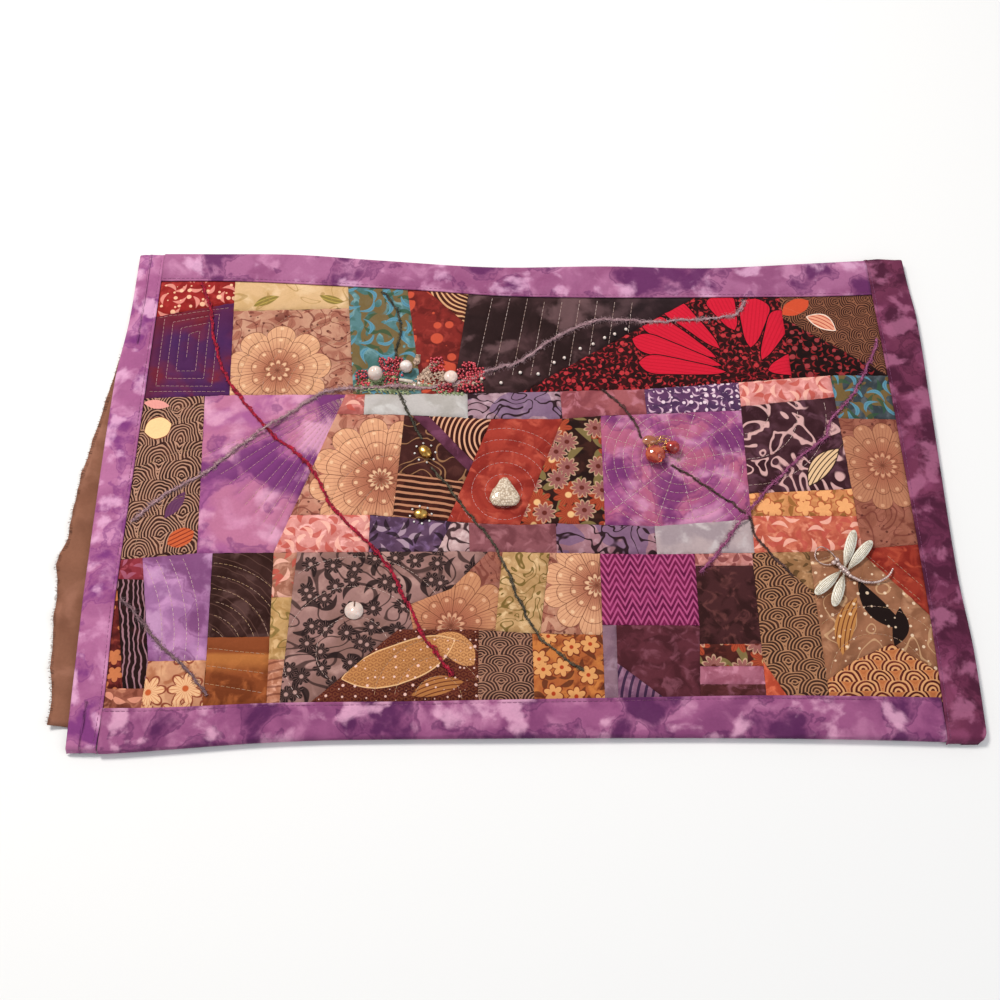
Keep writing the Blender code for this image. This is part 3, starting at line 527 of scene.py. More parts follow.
def middle(p, q):
    return ((p[0] + q[0]) / 2, (p[1] + q[1]) / 2)


def walk(polygon, first_edge, last_edge):
    corners = []
    index = first_edge
    while index != last_edge:
        index = (index + 1) % len(polygon)
        corners.append(polygon[index])
    return corners


def without_doubles(polygon):
    kept = []
    for point in polygon:
        if not kept or math.dist(point, kept[-1]) > 0.05:
            kept.append(point)
    if math.dist(kept[0], kept[-1]) <= 0.05:
        kept.pop()
    return kept


def cut_along(polygon, seam):
    """The parts of a patch on the left and right of a seam."""
    start_edge, start = boundary_hit(polygon, middle(seam[0], seam[1]), seam[0])
    end_edge, end = boundary_hit(polygon, middle(seam[-2], seam[-1]), seam[-1])
    inner = list(seam[1:-1])
    left = [start, *inner, end, *walk(polygon, end_edge, start_edge)]
    right = [end, *reversed(inner), start, *walk(polygon, start_edge, end_edge)]
    return without_doubles(left), without_doubles(right)


def cut_patches():
    """The pieced top, a little larger than the window between the bindings, cut at its seams."""
    low = [(u, curve_value(BOTTOM_SEAM, u) - PATCH_TUCK) for u in range(14, 521, 46)]
    high = [(u, curve_value(TOP_SEAM, u) + PATCH_TUCK) for u in range(520, 13, -46)]
    pieces = {"panel": [*low, *high]}
    for name, left_name, right_name, seam in SEAMS:
        pieces[left_name], pieces[right_name] = cut_along(pieces.pop(name), seam)
    return pieces


def swell(u, v):
    """The slow unevenness of the quilt's upper side."""
    return SWELL * math.sin(2 * math.pi * u / 230 + 0.7) * math.cos(2 * math.pi * v / 290 - 0.5)


def stitched_lines():
    """Every stitched line: patch, thread and points about a millimetre apart."""
    lines = []
    for patch, first, last, count, thread in STRAIGHT_LINES:
        for k in range(count):
            t = k / (count - 1)
            ends = [tuple(a + (b - a) * t for a, b in zip(p, q)) for p, q in zip(first, last)]
            lines.append((patch, thread, ends))
    for patch, centre, first, last, count, thread in RING_LINES:
        for k in range(count):
            radius = first + (last - first) * k / (count - 1)
            steps = int(radius * math.tau / 3)
            ring = [(centre[0] + radius * math.cos(math.tau * i / steps),
                     centre[1] + radius * math.sin(math.tau * i / steps)) for i in range(steps + 1)]
            lines.append((patch, thread, ring))
    for k in range(WEB_SPOKES):
        turn = math.tau * (k + 0.3) / WEB_SPOKES
        reach = (WEB_CENTRE[0] + 75 * math.cos(turn), WEB_CENTRE[1] + 75 * math.sin(turn))
        lines.append(("batik_web", "pale", [WEB_CENTRE, reach]))
    lines.append(("spiral_batik", "rose", list(SPIRAL)))
    return [(patch, thread, even_steps(points, 1.0)) for patch, thread, points in lines]


def even_steps(points, step):
    """Points one step apart along straight runs between the given points."""
    result = [points[0]]
    spare = 0.0
    for p, q in zip(points, points[1:]):
        length = math.dist(p, q)
        along = step - spare
        while along <= length:
            t = along / length
            result.append((p[0] + (q[0] - p[0]) * t, p[1] + (q[1] - p[1]) * t))
            along += step
        spare = (spare + length) % step
    return result


def is_inside(polygon, point):
    u, v = point
    found = False
    for i, (u0, v0) in enumerate(polygon):
        u1, v1 = polygon[(i + 1) % len(polygon)]
        if (v0 > v) != (v1 > v) and u < (u1 - u0) * (v - v0) / (v1 - v0) + u0:
            found = not found
    return found


def edge_data(polygon):
    """Start, direction and length of each side, for quick distances."""
    sides = []
    for i, (u0, v0) in enumerate(polygon):
        u1, v1 = polygon[(i + 1) % len(polygon)]
        length = math.dist((u0, v0), (u1, v1))
        sides.append((u0, v0, (u1 - u0) / length, (v1 - v0) / length, length))
    return sides


def rim_distance(sides, u, v):
    least = 1e9
    for u0, v0, du, dv, length in sides:
        along = min(max((u - u0) * du + (v - v0) * dv, 0.0), length)
        gap = (u - u0 - du * along) ** 2 + (v - v0 - dv * along) ** 2
        least = min(least, gap)
    return math.sqrt(least)


def window_distance(u, v):
    """How far inside the window between the bindings a point lies."""
    return min(u - curve_value(LEFT_SEAM, v), curve_value(RIGHT_SEAM, v) - u,
               v - curve_value(BOTTOM_SEAM, u), curve_value(TOP_SEAM, u) - v)


def cloth_height(u, v, rim, furrow, seed):
    """Height of a patch's cloth: pillow between seams, furrow at stitches, puckers, creases."""
    pillow = 0.15 + 1.05 * (1 - math.exp(-rim / 1.5)) + 0.25 * (1 - math.exp(-rim / 9))
    pucker = 0.85 * noise.noise(Vector((u / 5, v / 5, seed))) * math.exp(-rim / 5)
    slack = 0.75 * noise.noise(Vector((u / 17, v / 17, seed + 9))) * (1 - math.exp(-rim / 4))
    small = 0.13 * noise.noise(Vector((u / 2.3, v / 2.3, seed)))
    dip = 0.75 * math.exp(-(furrow / 1.3) ** 2)
    height = pillow + pucker + slack + small - dip
    window = min(max((window_distance(u, v) + 0.4) / 3.2, 0.0), 1.0)
    window = window * window * (3 - 2 * window)
    return PANEL_TOP + swell(u, v) + 0.02 + max(height, 0.02) * window


def patch_mesh(outline, cell, lines, seed):
    """A fine sheet cut to a patch's outline and laid over its padding."""
    u_low, u_high = min(p[0] for p in outline), max(p[0] for p in outline)
    v_low, v_high = min(p[1] for p in outline), max(p[1] for p in outline)
    bm = bmesh.new()
    bmesh.ops.create_grid(bm, x_segments=max(2, round((u_high - u_low) / cell)),
                          y_segments=max(2, round((v_high - v_low) / cell)), size=0.5)
    bmesh.ops.scale(bm, vec=(u_high - u_low + 0.2, v_high - v_low + 0.2, 1), verts=bm.verts)
    bmesh.ops.translate(bm, vec=((u_low + u_high) / 2, (v_low + v_high) / 2, 0), verts=bm.verts)
    sides = edge_data(outline)
    for u0, v0, du, dv, length in sides:
        inward = Vector((-dv, du, 0))
        bulges = all((p[0] - u0) * inward.x + (p[1] - v0) * inward.y > -0.01 for p in outline)
        for inset in (0.0, 0.55, 1.3):
            bmesh.ops.bisect_plane(bm, geom=[*bm.verts, *bm.edges, *bm.faces], dist=0.02,
                                   plane_co=Vector((u0, v0, 0)) + inward * inset, plane_no=inward,
                                   clear_inner=bulges and inset == 0.0)
    waste = [face for face in bm.faces if not is_inside(outline, face.calc_center_median()[:2])]
    bmesh.ops.delete(bm, geom=waste, context="FACES")
    tree = KDTree(max(1, len(lines)))
    for i, point in enumerate(lines):
        tree.insert((*point, 0), i)
    tree.balance()
    for vert in bm.verts:
        u, v, _ = vert.co
        furrow = tree.find((u, v, 0))[2] if lines else 99.0
        vert.co = place(u, v, cloth_height(u, v, rim_distance(sides, u, v), furrow, seed))
    return bm


def flat_size(outline):
    """Length and width of a patch along its longest side, and its area, in metres."""
    _, _, du, dv, _ = max(edge_data(outline), key=lambda side: side[4])
    along = [p[0] * du + p[1] * dv for p in outline]
    across = [p[1] * du - p[0] * dv for p in outline]
    area = 0.5 * sum(cross(p, outline[(i + 1) % len(outline)]) for i, p in enumerate(outline))
    return (max(along) - min(along)) * MM, (max(across) - min(across)) * MM, area * MM * MM


def turned(place, angle):
    """x and y of a place after a turn in degrees."""
    turn = calc("RADIANS", angle)
    c, s = calc("COSINE", turn), calc("SINE", turn)
    x, y = apart(place)
    return x * c + y * s, y * c - x * s


def length_of(x, y):
    return calc("SQRT", x * x + y * y)


def shifted(place, seed, across, up):
    """A place moved one step for each seed."""
    step = Shade(put("CombineXYZ", seed * across, seed * up, 0.0).outputs[0])
    return move("ADD", place, step)


def line_mask(value, pitch, width):
    """Lines of one width each pitch, from a distance in millimetres."""
    away = abs(calc("FRACT", value / pitch) - 0.5) * pitch
    return soft_drop(away, width * 0.5 - 0.12, width * 0.5 + 0.12)


@Effect
def stripes(place=ORIGIN, angle=0.0, pitch=3.0, width=1.0, waver=0.0):
    """Wavering lines across the cloth."""
    across = turned(place, angle)[1]
    return {"Line": line_mask(across + (cloud(place, 12.0) - 0.5) * waver, pitch, width)}


@Effect
def rings(place=ORIGIN, centre=ORIGIN, pitch=3.0, width=1.0, waver=0.0):
    """Lines round one centre."""
    away = length_of(*apart(move("SUBTRACT", place, centre)))
    return {"Line": line_mask(away + cloud(place, 9.0) * waver, pitch, width)}


@Effect
def fade(place=ORIGIN, angle=0.0, start=0.0, end=1.0):
    """From 0 to 1 across a stretch of the cloth."""
    return {"Mask": soft_step(turned(place, angle)[0], start, end)}


@Effect
def scatter(place=ORIGIN, size=12.0, seed=0.0):
    """One motif to a cell, each with its own turn."""
    moved = shifted(place, seed, 37.7, 17.3)
    cells = put("TexVoronoi", moved, voronoi_dimensions="2D")
    feed(cells.inputs["Scale"], 1.0 / size)
    feed(cells.inputs["Randomness"], 0.75)
    chance, tone, _ = put("SeparateColor", Shade(cells.outputs["Color"])).outputs
    local = move("SUBTRACT", moved, Shade(cells.outputs["Position"]))
    x, y = turned(local, Shade(chance) * 360.0)
    return {"Local": Shade(put("CombineXYZ", x / size, y / size, 0.0).outputs[0]), "Tone": Shade(tone)}


def scattered(place, size, seed):
    found = scatter.over(place, size=size, seed=seed)
    return (*apart(found["Local"]), found["Tone"])


@Effect
def blooms(place=ORIGIN, size=14.0, seed=0.0, petals=5.0, reach=0.42):
    """Scattered round flowers with a heart, ribs and an outline."""
    x, y, _ = scattered(place, size, seed)
    away = length_of(x, y)
    turn = calc("ARCTAN2", y, x)
    lobes = abs(calc("COSINE", turn * (petals * 0.5)))
    past = away - reach * (lobes * 0.42 + 0.58)
    fan = abs(calc("SINE", turn * (petals * 1.5)))
    return {"Petal": soft_drop(past, -0.02, 0.02), "Heart": soft_drop(away, 0.07, 0.11),
            "Outline": soft_drop(abs(past), 0.015, 0.05),
            "Ribs": soft_drop(fan, 0.1, 0.4) * soft_drop(past, -0.03, 0.0)}


@Effect
def leaves(place=ORIGIN, size=10.0, seed=0.0, reach=0.5, slim=0.2, curl=0.6):
    """Scattered pointed leaves with a vein."""
    x, y, _ = scattered(place, size, seed)
    y = y + x * x * curl
    part = x / reach
    leaf = soft_drop(abs(y) - slim * (1.0 - part * part), -0.02, 0.02)
    barbs = line_mask(x + abs(y), 0.11, 0.035)
    spine = soft_drop(abs(y), 0.008, 0.025)
    return {"Leaf": leaf, "Vein": leaf * calc("MAXIMUM", spine, barbs)}


@Effect
def speckle(place=ORIGIN, size=4.0, seed=0.0, reach=0.3):
    """Scattered dots of uneven size."""
    x, y, tone = scattered(place, size, seed)
    return {"Dot": soft_drop(length_of(x, y) - reach * tone, -0.03, 0.03)}


@Effect
def scrolls(place=ORIGIN, size=16.0, count=4.0, width=0.1, run=0.6, seed=0.0):
    """Drawn lines that run and fold like marbling, and the shapes between them."""
    part = calc("FRACT", cloud(shifted(place, seed, 41.9, 23.1), size, 0.6, run) * count)
    return {"Line": soft_drop(abs(part - 0.5), width * 0.7, width * 1.3),
            "Fill": soft_step(part, 0.42, 0.58)}


@Effect
def wave_fans(place=ORIGIN, size=14.0, rings=5.0, width=0.4, angle=0.0, waver=0.1, tall=1.0):
    """Overlapping rows of fans, ringed like a drawn sea."""
    along, across = turned(place, angle)
    sway = (cloud(place, 16.0) - 0.5) * waver
    x = along / size + sway
    y = across / (size * tall) + sway
    row = calc("FLOOR", y * 3.0)
    reach = None
    for back in (2.0, 1.0, 0.0):
        line = row - back
        shift = calc("FLOORED_MODULO", line, 2.0) * 0.5
        column = calc("ROUND", x - shift) + shift
        away = length_of(x - column, y - line / 3.0)
        if reach is None:
            reach = away
        else:
            near = calc("LESS_THAN", away, 0.5)
            reach = Shade(put("Mix", near, None, reach, away).outputs[0])
    part = calc("FRACT", reach * 2.0 * rings)
    return {"Line": soft_step(part, 0.9 - width, 1.1 - width), "Rim": soft_step(reach, 0.44, 0.47)}


@Effect
def pools(place=ORIGIN, size=40.0, level=0.5, seed=0.0):
    """Stains of dye with a darker rim where the wet edge dried."""
    depth = cloud(shifted(place, seed, 53.9, 31.1), size, 7.0, 0.25)
    return {"Mask": soft_step(depth, level - 0.015, level + 0.09),
            "Edge": soft_drop(abs(depth - level), 0.002, 0.02)}


@Effect
def rosette(place=ORIGIN, centre=ORIGIN, reach=30.0, petals=9.0, rings=3.0, turn=0.0):
    """One large ribbed flower, its petals scalloped and crossed by rings and dots."""
    x, y = apart(move("SUBTRACT", place, centre))
    away = length_of(x, y)
    round_share = (calc("ARCTAN2", y, x) + turn) / math.tau * petals
    across = abs(calc("FRACT", round_share) * 2.0 - 1.0)
    half = away * math.pi / petals
    bow = calc("SQRT", calc("MAXIMUM", 1.0 - across * across, 0.0))
    past = away - reach * (bow * 0.26 + 0.74)
    petal = soft_drop(past, -0.1, 0.3)
    side_line = soft_drop((1.0 - across) * half, 0.1, 0.34)
    rim_line = soft_drop(abs(past), 0.16, 0.42)
    pitch = reach / rings
    bent = away - bow * (pitch * 0.5)
    ring = line_mask(bent, pitch, 0.45)
    line = calc("MAXIMUM", side_line, calc("MAXIMUM", rim_line, ring))
    fine = abs(calc("FRACT", round_share * 6.0) * 2.0 - 1.0)
    rib_gap = (1.0 - fine) * (half / 6.0)
    spot = length_of(across * half, calc("FRACT", bent / pitch) * pitch - pitch * 0.25)
    return {"Petal": petal, "Line": line * calc("MAXIMUM", petal, rim_line),
            "Ribs": petal * soft_drop(rib_gap, 0.08, 0.3), "Dot": petal * soft_drop(spot, 1.0, 1.5),
            "Depth": petal * soft_drop(away, reach * 0.15, reach * 0.75)}


@Effect
def chevrons(place=ORIGIN, pitch=8.0, rise=3.0, row=5.0, width=1.6):
    """Rows of zigzag."""
    x, y = apart(place)
    peak = abs(calc("FRACT", x / pitch) - 0.5) * rise
    return {"Line": line_mask(peak * 2.0 + y, row, width)}


@Effect
def placed_leaf(place=ORIGIN, centre=ORIGIN, angle=0.0, reach=10.0, slim=3.0, curl=0.0, full=2.0,
                taper=0.0):
    """One petal or leaf at its own place, with ribs."""
    x, y = turned(move("SUBTRACT", place, centre), angle)
    part = x / reach
    share = calc("MINIMUM", abs(part), 1.0)
    y = y + share * share * curl
    past = abs(y) - slim * (1.0 - calc("POWER", share, full)) * (part * taper + 1.0)
    leaf = soft_drop(past, -0.15, 0.15)
    within = calc("LESS_THAN", abs(part), 1.0)
    return {"Leaf": leaf, "Outline": within * soft_drop(abs(past), 0.25, 0.55),
            "Ribs": leaf * line_mask(y, 2.6, 0.7)}


def one_leaf(u, v, angle, reach, slim, curl=0.0, full=2.0, taper=0.0, **inks):
    return placed_leaf(centre=(u, v, 0.0), angle=angle, reach=reach, slim=slim, curl=curl, full=full,
                       taper=taper, **inks)


def flower_print(u, v, reach, petals, rings, turn=0.0, seed=2, pale="dcac88", lit="ecc8a4"):
    """A large ribbed flower on a drawn ground of small leaves and scrolls."""
    return (leaves(size=12, seed=seed, slim=0.22, curl=0.8, Leaf=("b87c68", 0.8), Vein=("7c4438", 0.7))
            + scrolls(size=26, count=7, width=0.07, seed=seed, run=1.1, Line=("7c4238", 0.75))
            + speckle(size=6, seed=seed + 4, reach=0.16, Dot=("5c2c26", 0.8))
            + rosette(centre=(u, v, 0.0), reach=reach, petals=petals, rings=rings, turn=turn,
                      Petal=(pale, 0.92), Depth=("a8644e", 0.8), Ribs=("9c6450", 0.65),
                      Line=("70402f", 0.8), Dot=(lit, 0.75)))


def stained(dark, light, size=46, seed=0, level=0.52):
    """Batik: dark pools with dried rims, and a few pale clouds."""
    return (pools(size=size, level=level, seed=seed, Mask=(dark, 0.9), Edge=(dark, 0.5))
            + pools(size=size * 0.8, level=level + 0.04, seed=seed + 3, Mask=(light, 0.75)))


CORAL_PRINT = (leaves(size=9, seed=1, slim=0.2, curl=1.2, Leaf=("c25e52", 0.8))
               + leaves(size=11, seed=6, slim=0.14, curl=1.0, Leaf=("f6c4b2", 0.7)))
SWIRL_PRINT = (scrolls(size=22, count=2, seed=6, Fill=("7e6484", 0.7))
               + scrolls(size=17, count=3, width=0.1, seed=3, run=1.6, Line=("30181e", 0.96)))
FERN_PRINT = (scrolls(size=16, count=2, seed=5, run=1.4, Fill=("80683e", 0.9))
              + leaves(size=14, seed=7, slim=0.12, curl=-0.9, Leaf=("3f5e44", 0.8))
              + leaves(size=13, seed=2, slim=0.11, curl=1.3, reach=0.62, Leaf=("7aa6b4", 0.95),
                       Vein=("3a7890", 0.8)))
NIGHT_PRINT = (leaves(size=15, seed=4, slim=0.17, Leaf=("8c7a50", 0.9))
               + blooms(size=24, seed=2, petals=9, reach=0.42, Petal=("b05236", 0.95), Ribs=("742e24", 0.9),
                        Heart=("e8c08c", 0.95))
               + blooms(size=18, seed=6, petals=10, reach=0.4, Petal=("a8706a", 0.95), Ribs=("5c2a2a", 0.8),
                        Heart=("6a2c22", 0.95), Outline=("e8c8a4", 0.5)))
INK_FLORAL = (scrolls(size=40, count=6, width=0.09, seed=7, run=1.2, Line=("3a2624", 0.8))
              + leaves(size=15, seed=3, slim=0.13, curl=1.1, Leaf=("2c1c1c", 0.9))
              + blooms(size=14, seed=4, petals=6, reach=0.4, Petal=("2c1c1c", 0.95), Ribs=("a8857e", 0.6),
                       Heart=("c09c94", 0.85)))
RED_FANS = sum((
    one_leaf(u, v, angle, reach, slim, 0, 6, 0.6, Leaf=("d22440", 1.0), Ribs=("b81430", 0.5),
             Outline=("1c0608", 1.0))
    for u, v, angle, reach, slim in (
        (376, 285, 146, 30, 6.6), (374, 273, 160, 32, 6.4), (377, 261, 173, 30, 6.0),
        (386, 296, 131, 27, 6.6), (410, 306, 108, 16, 8), (428, 297, 80, 21, 8.5),
        (441, 287, 64, 23, 6.5), (447, 262, 15, 13, 7.5))), [])

# Prints: patch, three ground colours, size and run of the dye, printed layers
PRINTS = {
    "red_berry": ("a02e2c 8e2422 b03e3a", 14, 0.6,
        leaves(size=10, seed=4, slim=0.15, curl=1.0, Leaf=("e0988a", 0.9)),
        speckle(size=6, seed=2, reach=0.3, Dot=("f2c6a4", 0.9))),
    "spiral_batik": ("6a2f55 5c2f62 7c2c40", 34, 0.5,
        fade(angle=90, start=276, end=306, Mask=("7a2834", 0.9)),
        pools(size=40, level=0.5, seed=6, Mask=("4e2a5e", 0.7)),
        fade(angle=180, start=-34, end=-16, Mask=("6c2438", 0.6))),
    "cream_leaf": ("d6b48a ccaa7c e0c29c", 24, 0.4,
        one_leaf(92, 315, 25, 9.5, 3.4, 1, Leaf=("8a7a3a", 0.9), Ribs=("c2aa5e", 0.8)),
        one_leaf(137, 316, -18, 9, 3.2, -1, Leaf=("8a7a3a", 0.9), Ribs=("c2aa5e", 0.8)),
        scrolls(size=20, count=4, width=0.04, Line=("a98952", 0.6))),
    "wing_left": ("bc8c76 c89c84 a87260", 18, 0.6, flower_print(104, 258, 36, 9, 4, 0.2)),
    "wing_middle": ("c08874 cc9c86 ac6a5a", 18, 0.6, flower_print(176, 176, 46, 12, 5, 0.1, 5, "e0ac88")),
    "wing_right": ("98604e a46c5a 844c3e", 18, 0.6,
        flower_print(502, 186, 32, 12, 3, 0.4, 8, "bc8668", "d8a888")),
    "wing_lower": ("a0685a ac7868 8a5244", 18, 0.6,
        flower_print(222, 76, 38, 12, 4, 0.1, 4, "c8926e", "e0b292")),
    "wing_eye": ("bc8870 c89a82 a8705c", 18, 0.6, flower_print(312, 102, 34, 11, 4, 0.3, 7, "dcaa86")),
    "fern_teal": ("628688 507470 82a4a8", 16, 1.0, FERN_PRINT),
    "teal_leaf": ("4c5458 40484c 62686c", 16, 1.0, FERN_PRINT),
    "corner_arcs": ("5a2a20 4a2018 6c382a", 16, 0.4,
        rings(centre=(233, 329, 0), pitch=3.2, width=1.2, Line=("e0b288", 0.95))),
    "rust_spots": ("8a322c 702622 9c4038", 12, 0.8,
        speckle(size=13, seed=5, reach=0.5, Dot=("cf6046", 0.85))),
    "charcoal_pearl": ("4c3436 3a2424 5c4244", 32, 0.8,
        pools(size=40, level=0.5, seed=4, Mask=("2e1a1a", 0.85)),
        pools(size=30, level=0.56, seed=8, Mask=("86686a", 0.6)),
        fade(angle=0, start=300, end=350, Mask=("2c2026", 0.5))),
    "red_fan": ("3a1012 2c0b0d 4a1618", 12, 0.8,
        leaves(size=4.2, seed=3, slim=0.16, curl=1.6, Leaf=("a02c34", 0.95)),
        speckle(size=6, seed=9, reach=0.3, Dot=("d84a50", 0.7)),
        RED_FANS),
    "reed_brown": ("4c2a22 3c1e18 5c362a", 16, 0.6,
        wave_fans(size=18, rings=6, width=0.36, angle=40, waver=0.3, Line=("a87458", 0.8)),
        one_leaf(459, 310, 30, 11, 6, 0, 3, Leaf=("cf5a3a", 1.0)),
        one_leaf(476, 298, -30, 11, 5.5, 2, Leaf=("e8a78a", 1.0), Ribs=("b4463c", 0.9),
                 Outline=("fbe6d6", 0.9))),
    "dot_night": ("280c0b 1c0706 34110f", 12, 0.8,
        leaves(size=5.4, seed=3, slim=0.14, curl=1.6, Leaf=("922a2e", 0.95)),
        speckle(size=7, seed=9, reach=0.3, Dot=("b04c50", 0.8))),
    "wave_left": ("4a2a22 3c201a 5c382c", 20, 0.6,
        wave_fans(size=29, rings=8, width=0.38, angle=8, waver=0.2, tall=1.35, Line=("c89e86", 0.88)),
        one_leaf(29, 214, 20, 9, 8, 0, 3, Leaf=("f2cf9c", 1.0), Outline=("8a4a38", 0.9)),
        one_leaf(26, 232, -10, 9, 3.4, Leaf=("e6a39a", 0.95)),
        one_leaf(46, 158, 60, 11, 4, Leaf=("6d4064", 0.95)),
        one_leaf(52, 135, 30, 9, 6, 0, 3, Leaf=("cf6a40", 0.95), Ribs=("8a3424", 0.95))),
    "wave_dark": ("4e3024 40261e 5c3a2c", 18, 0.6,
        wave_fans(size=26, rings=6, width=0.4, angle=8, waver=0.2, tall=0.8, Line=("c0916e", 0.85))),
    "shell_wave": ("4c302a 402822 5c3e36", 16, 0.6,
        wave_fans(size=24, rings=6, width=0.38, angle=0, waver=0.15, tall=0.72, Line=("b88c74", 0.85))),
    "batik_fan": ("be7c9a ac6898 cc8eac", 40, 0.5, stained("7c3c78", "e0acc4", 44, 2, 0.5)),
    "batik_web": ("b66a86 a45c8c c47e9c", 34, 0.6, stained("7e3c74", "d49cba", 34, 5, 0.5)),
    "lilac_lines": ("b684ac a4749e c696bc", 30, 0.5, stained("84507c", "caa0c0", 34, 1)),
    "coral_bit": ("be7870 ac625c d88e86", 10, 0.6, CORAL_PRINT),
    "coral_left": ("dc9c94 cc847c efb8b0", 10, 0.6, CORAL_PRINT),
    "coral_right": ("cc765e b85e4c e0947a", 10, 0.6, CORAL_PRINT),
    "pink_top": ("dd9892 cc827c f0b4ae", 10, 0.6, CORAL_PRINT),
    "aqua_top": ("c2bcb8 b4aea8 ccc8c4", 22, 0.3),
    "aqua_low": ("bcaaaa a8989c c8bcbc", 22, 0.3),
    "swirl_top": ("ae909a 9c7c86 c4a8b0", 14, 0.6, SWIRL_PRINT),
    "swirl_low": ("a67c84 966c74 ba949c", 14, 0.6, SWIRL_PRINT),
    "periwinkle_leaf": ("6c5068 5a4058 84688a", 14, 0.6,
        leaves(size=12, seed=4, slim=0.15, curl=0.9, Leaf=("b49aa8", 0.9)),
        leaves(size=10, seed=8, slim=0.14, Leaf=("2c1a22", 0.85))),
    "splash_navy": ("6a4468 573a5c 80587c", 12, 0.8,
        leaves(size=6, seed=5, slim=0.12, curl=1.4, Leaf=("d8b8c6", 0.95)),
        speckle(size=5, seed=2, reach=0.3, Dot=("f0dae0", 0.9))),
    "mauve_top": ("a86468 904e54 bc7c86", 14, 0.8),
    "dull_purple": ("925c62 7c484e a87278", 14, 0.8),
    "arc_lines": ("4a1c14 3c130c 5c281e", 16, 0.4,
        rings(centre=(251, 206, 0), pitch=3.3, width=1.2, Line=("e2b090", 0.95))),
    "purple_band": ("6e3c52 5c2e42 804c66", 16, 0.6),
    "black_plain": ("4c2622 401e1a 5e3630", 16, 0.6,
        scrolls(size=16, count=3, width=0.05, Line=("b48a64", 0.7))),
    "bar_stripes": ("4a2016 3c170e 5a2c20", 16, 0.4,
        stripes(angle=-8, pitch=4.3, width=1.6, waver=1.4, Line=("c08c6e", 0.95))),
    "rust_rings": ("aa4638 94342a bd5c4a", 18, 0.8),
    "night_floral": ("3a1c16 2a120e 4a2820", 16, 0.5, NIGHT_PRINT),
    "ember_floral": ("5a2a24 481e1a 703830", 12, 0.5, NIGHT_PRINT),
    "orange_floral": ("b0683c c88248 8a4828", 14, 0.5,
        leaves(size=11, seed=2, slim=0.16, Leaf=("5e3020", 0.8)),
        blooms(size=14, seed=5, petals=6, reach=0.45, Petal=("dca46c", 0.95), Outline=("7a2c1a", 0.9),
               Heart=("b0401e", 0.95))),
    "peony_cream": ("c89474 d8a884 b07454", 14, 0.6,
        blooms(size=21, seed=3, petals=7, reach=0.5, Petal=("e8bc92", 0.95), Ribs=("b45a34", 0.8),
               Outline=("8a3c28", 0.9), Heart=("c26030", 0.95))),
    "scroll_navy": ("523038 422028 684450", 18, 0.6,
        scrolls(size=30, count=4, width=0.12, seed=3, run=1.6, Line=("d8b0ac", 0.95)),
        one_leaf(462, 186, 50, 18, 6.5, 2, Leaf=("e6c49c", 1.0), Ribs=("3a201c", 0.95),
                 Outline=("2e1614", 0.9))),
    "marigold": ("cc8c5e dba06c b06c44", 12, 0.7,
        leaves(size=10, seed=3, slim=0.16, Leaf=("9a6a38", 0.85)),
        blooms(size=15, seed=7, petals=5, reach=0.42, Petal=("efb27c", 0.9), Outline=("b0563a", 0.8))),
    "red_square": ("943a46 7e2a36 a8525e", 8, 0.6,
        leaves(size=8, seed=3, slim=0.16, Leaf=("b06a80", 0.8))),
    "zebra": ("2c100e 220808 3c1a18", 14, 0.4,
        stripes(angle=98, pitch=3.2, width=0.9, waver=7, Line=("a88088", 0.95))),
    "sliver_red": ("722a26 561a18 904438", 8, 0.6,
        blooms(size=12, seed=3, petals=5, reach=0.42, Petal=("cf8458", 0.9))),
    "brown_bud": ("9a5e4c 7c4434 bb8068", 10, 0.8,
        leaves(size=9, seed=2, slim=0.2, Leaf=("e2a088", 0.8))),
    "dash_brown": ("482c28 3a1e18 604440", 22, 0.6,
        rings(centre=(60, 50, 0), pitch=6, width=0.5, waver=3, Line=("7a5a50", 0.5))),
    "golden_brown": ("90502c 7a4020 a8643a", 14, 0.4,
        fade(angle=90, start=44, end=56, Mask=("c08048", 0.75)),
        fade(angle=90, start=57, end=60, Mask=("8a4a2a", 0.9))),
    "peach_slat": ("b2806c a06c58 c4927e", 10, 0.6, CORAL_PRINT),
    "lime_slat": ("c4a070 b08a58 d8b486", 10, 0.6,
        scrolls(size=14, count=4, width=0.08, Line=("7c6a34", 0.7))),
    "ribbed_slat": ("c89076 b2785e dfaa92", 10, 0.6,
        stripes(angle=12, pitch=5, width=1.4, waver=3, Line=("6e3424", 0.6))),
    "mauve_floral": ("a4807a 927068 b8948c", 26, 0.5, INK_FLORAL),
    "drift_leaf": ("a47458 8e6248 b88a6c", 26, 0.5,
        scrolls(size=26, count=4, width=0.04, Line=("e0bc94", 0.5)),
        one_leaf(484, 86, 128, 21, 6.5, 5, Leaf=("24120e", 1.0)),
        one_leaf(497, 74, 75, 13, 5, -2, Leaf=("24120e", 1.0)),
        one_leaf(463, 76, 70, 20, 6, 3, Leaf=("c08a52", 0.95), Ribs=("6e3420", 0.9)),
        speckle(size=7, seed=4, reach=0.16, Dot=("f0d8bc", 0.8))),
    "fan_gold": ("6a2a20 581e18 7c3a2c", 12, 0.5,
        wave_fans(size=20, rings=4, width=0.5, angle=0, waver=0.2, Line=("dca878", 0.95),
                  Rim=("c07a4c", 0.9))),
    "gold_scale": ("5c2620 4c1c18 6e342c", 14, 0.5,
        one_leaf(192, 52, 20, 36, 12, -3, 3, Leaf=("c08a58", 1.0)),
        one_leaf(226, 62, -40, 15, 8, 2, 3, Leaf=("cf9a68", 1.0)),
        wave_fans(size=6, rings=2, width=0.4, angle=90, waver=0.1, Line=("8a5436", 0.55)),
        one_leaf(192, 52, 20, 36, 12, -3, 3, Outline=("f0c898", 0.8)),
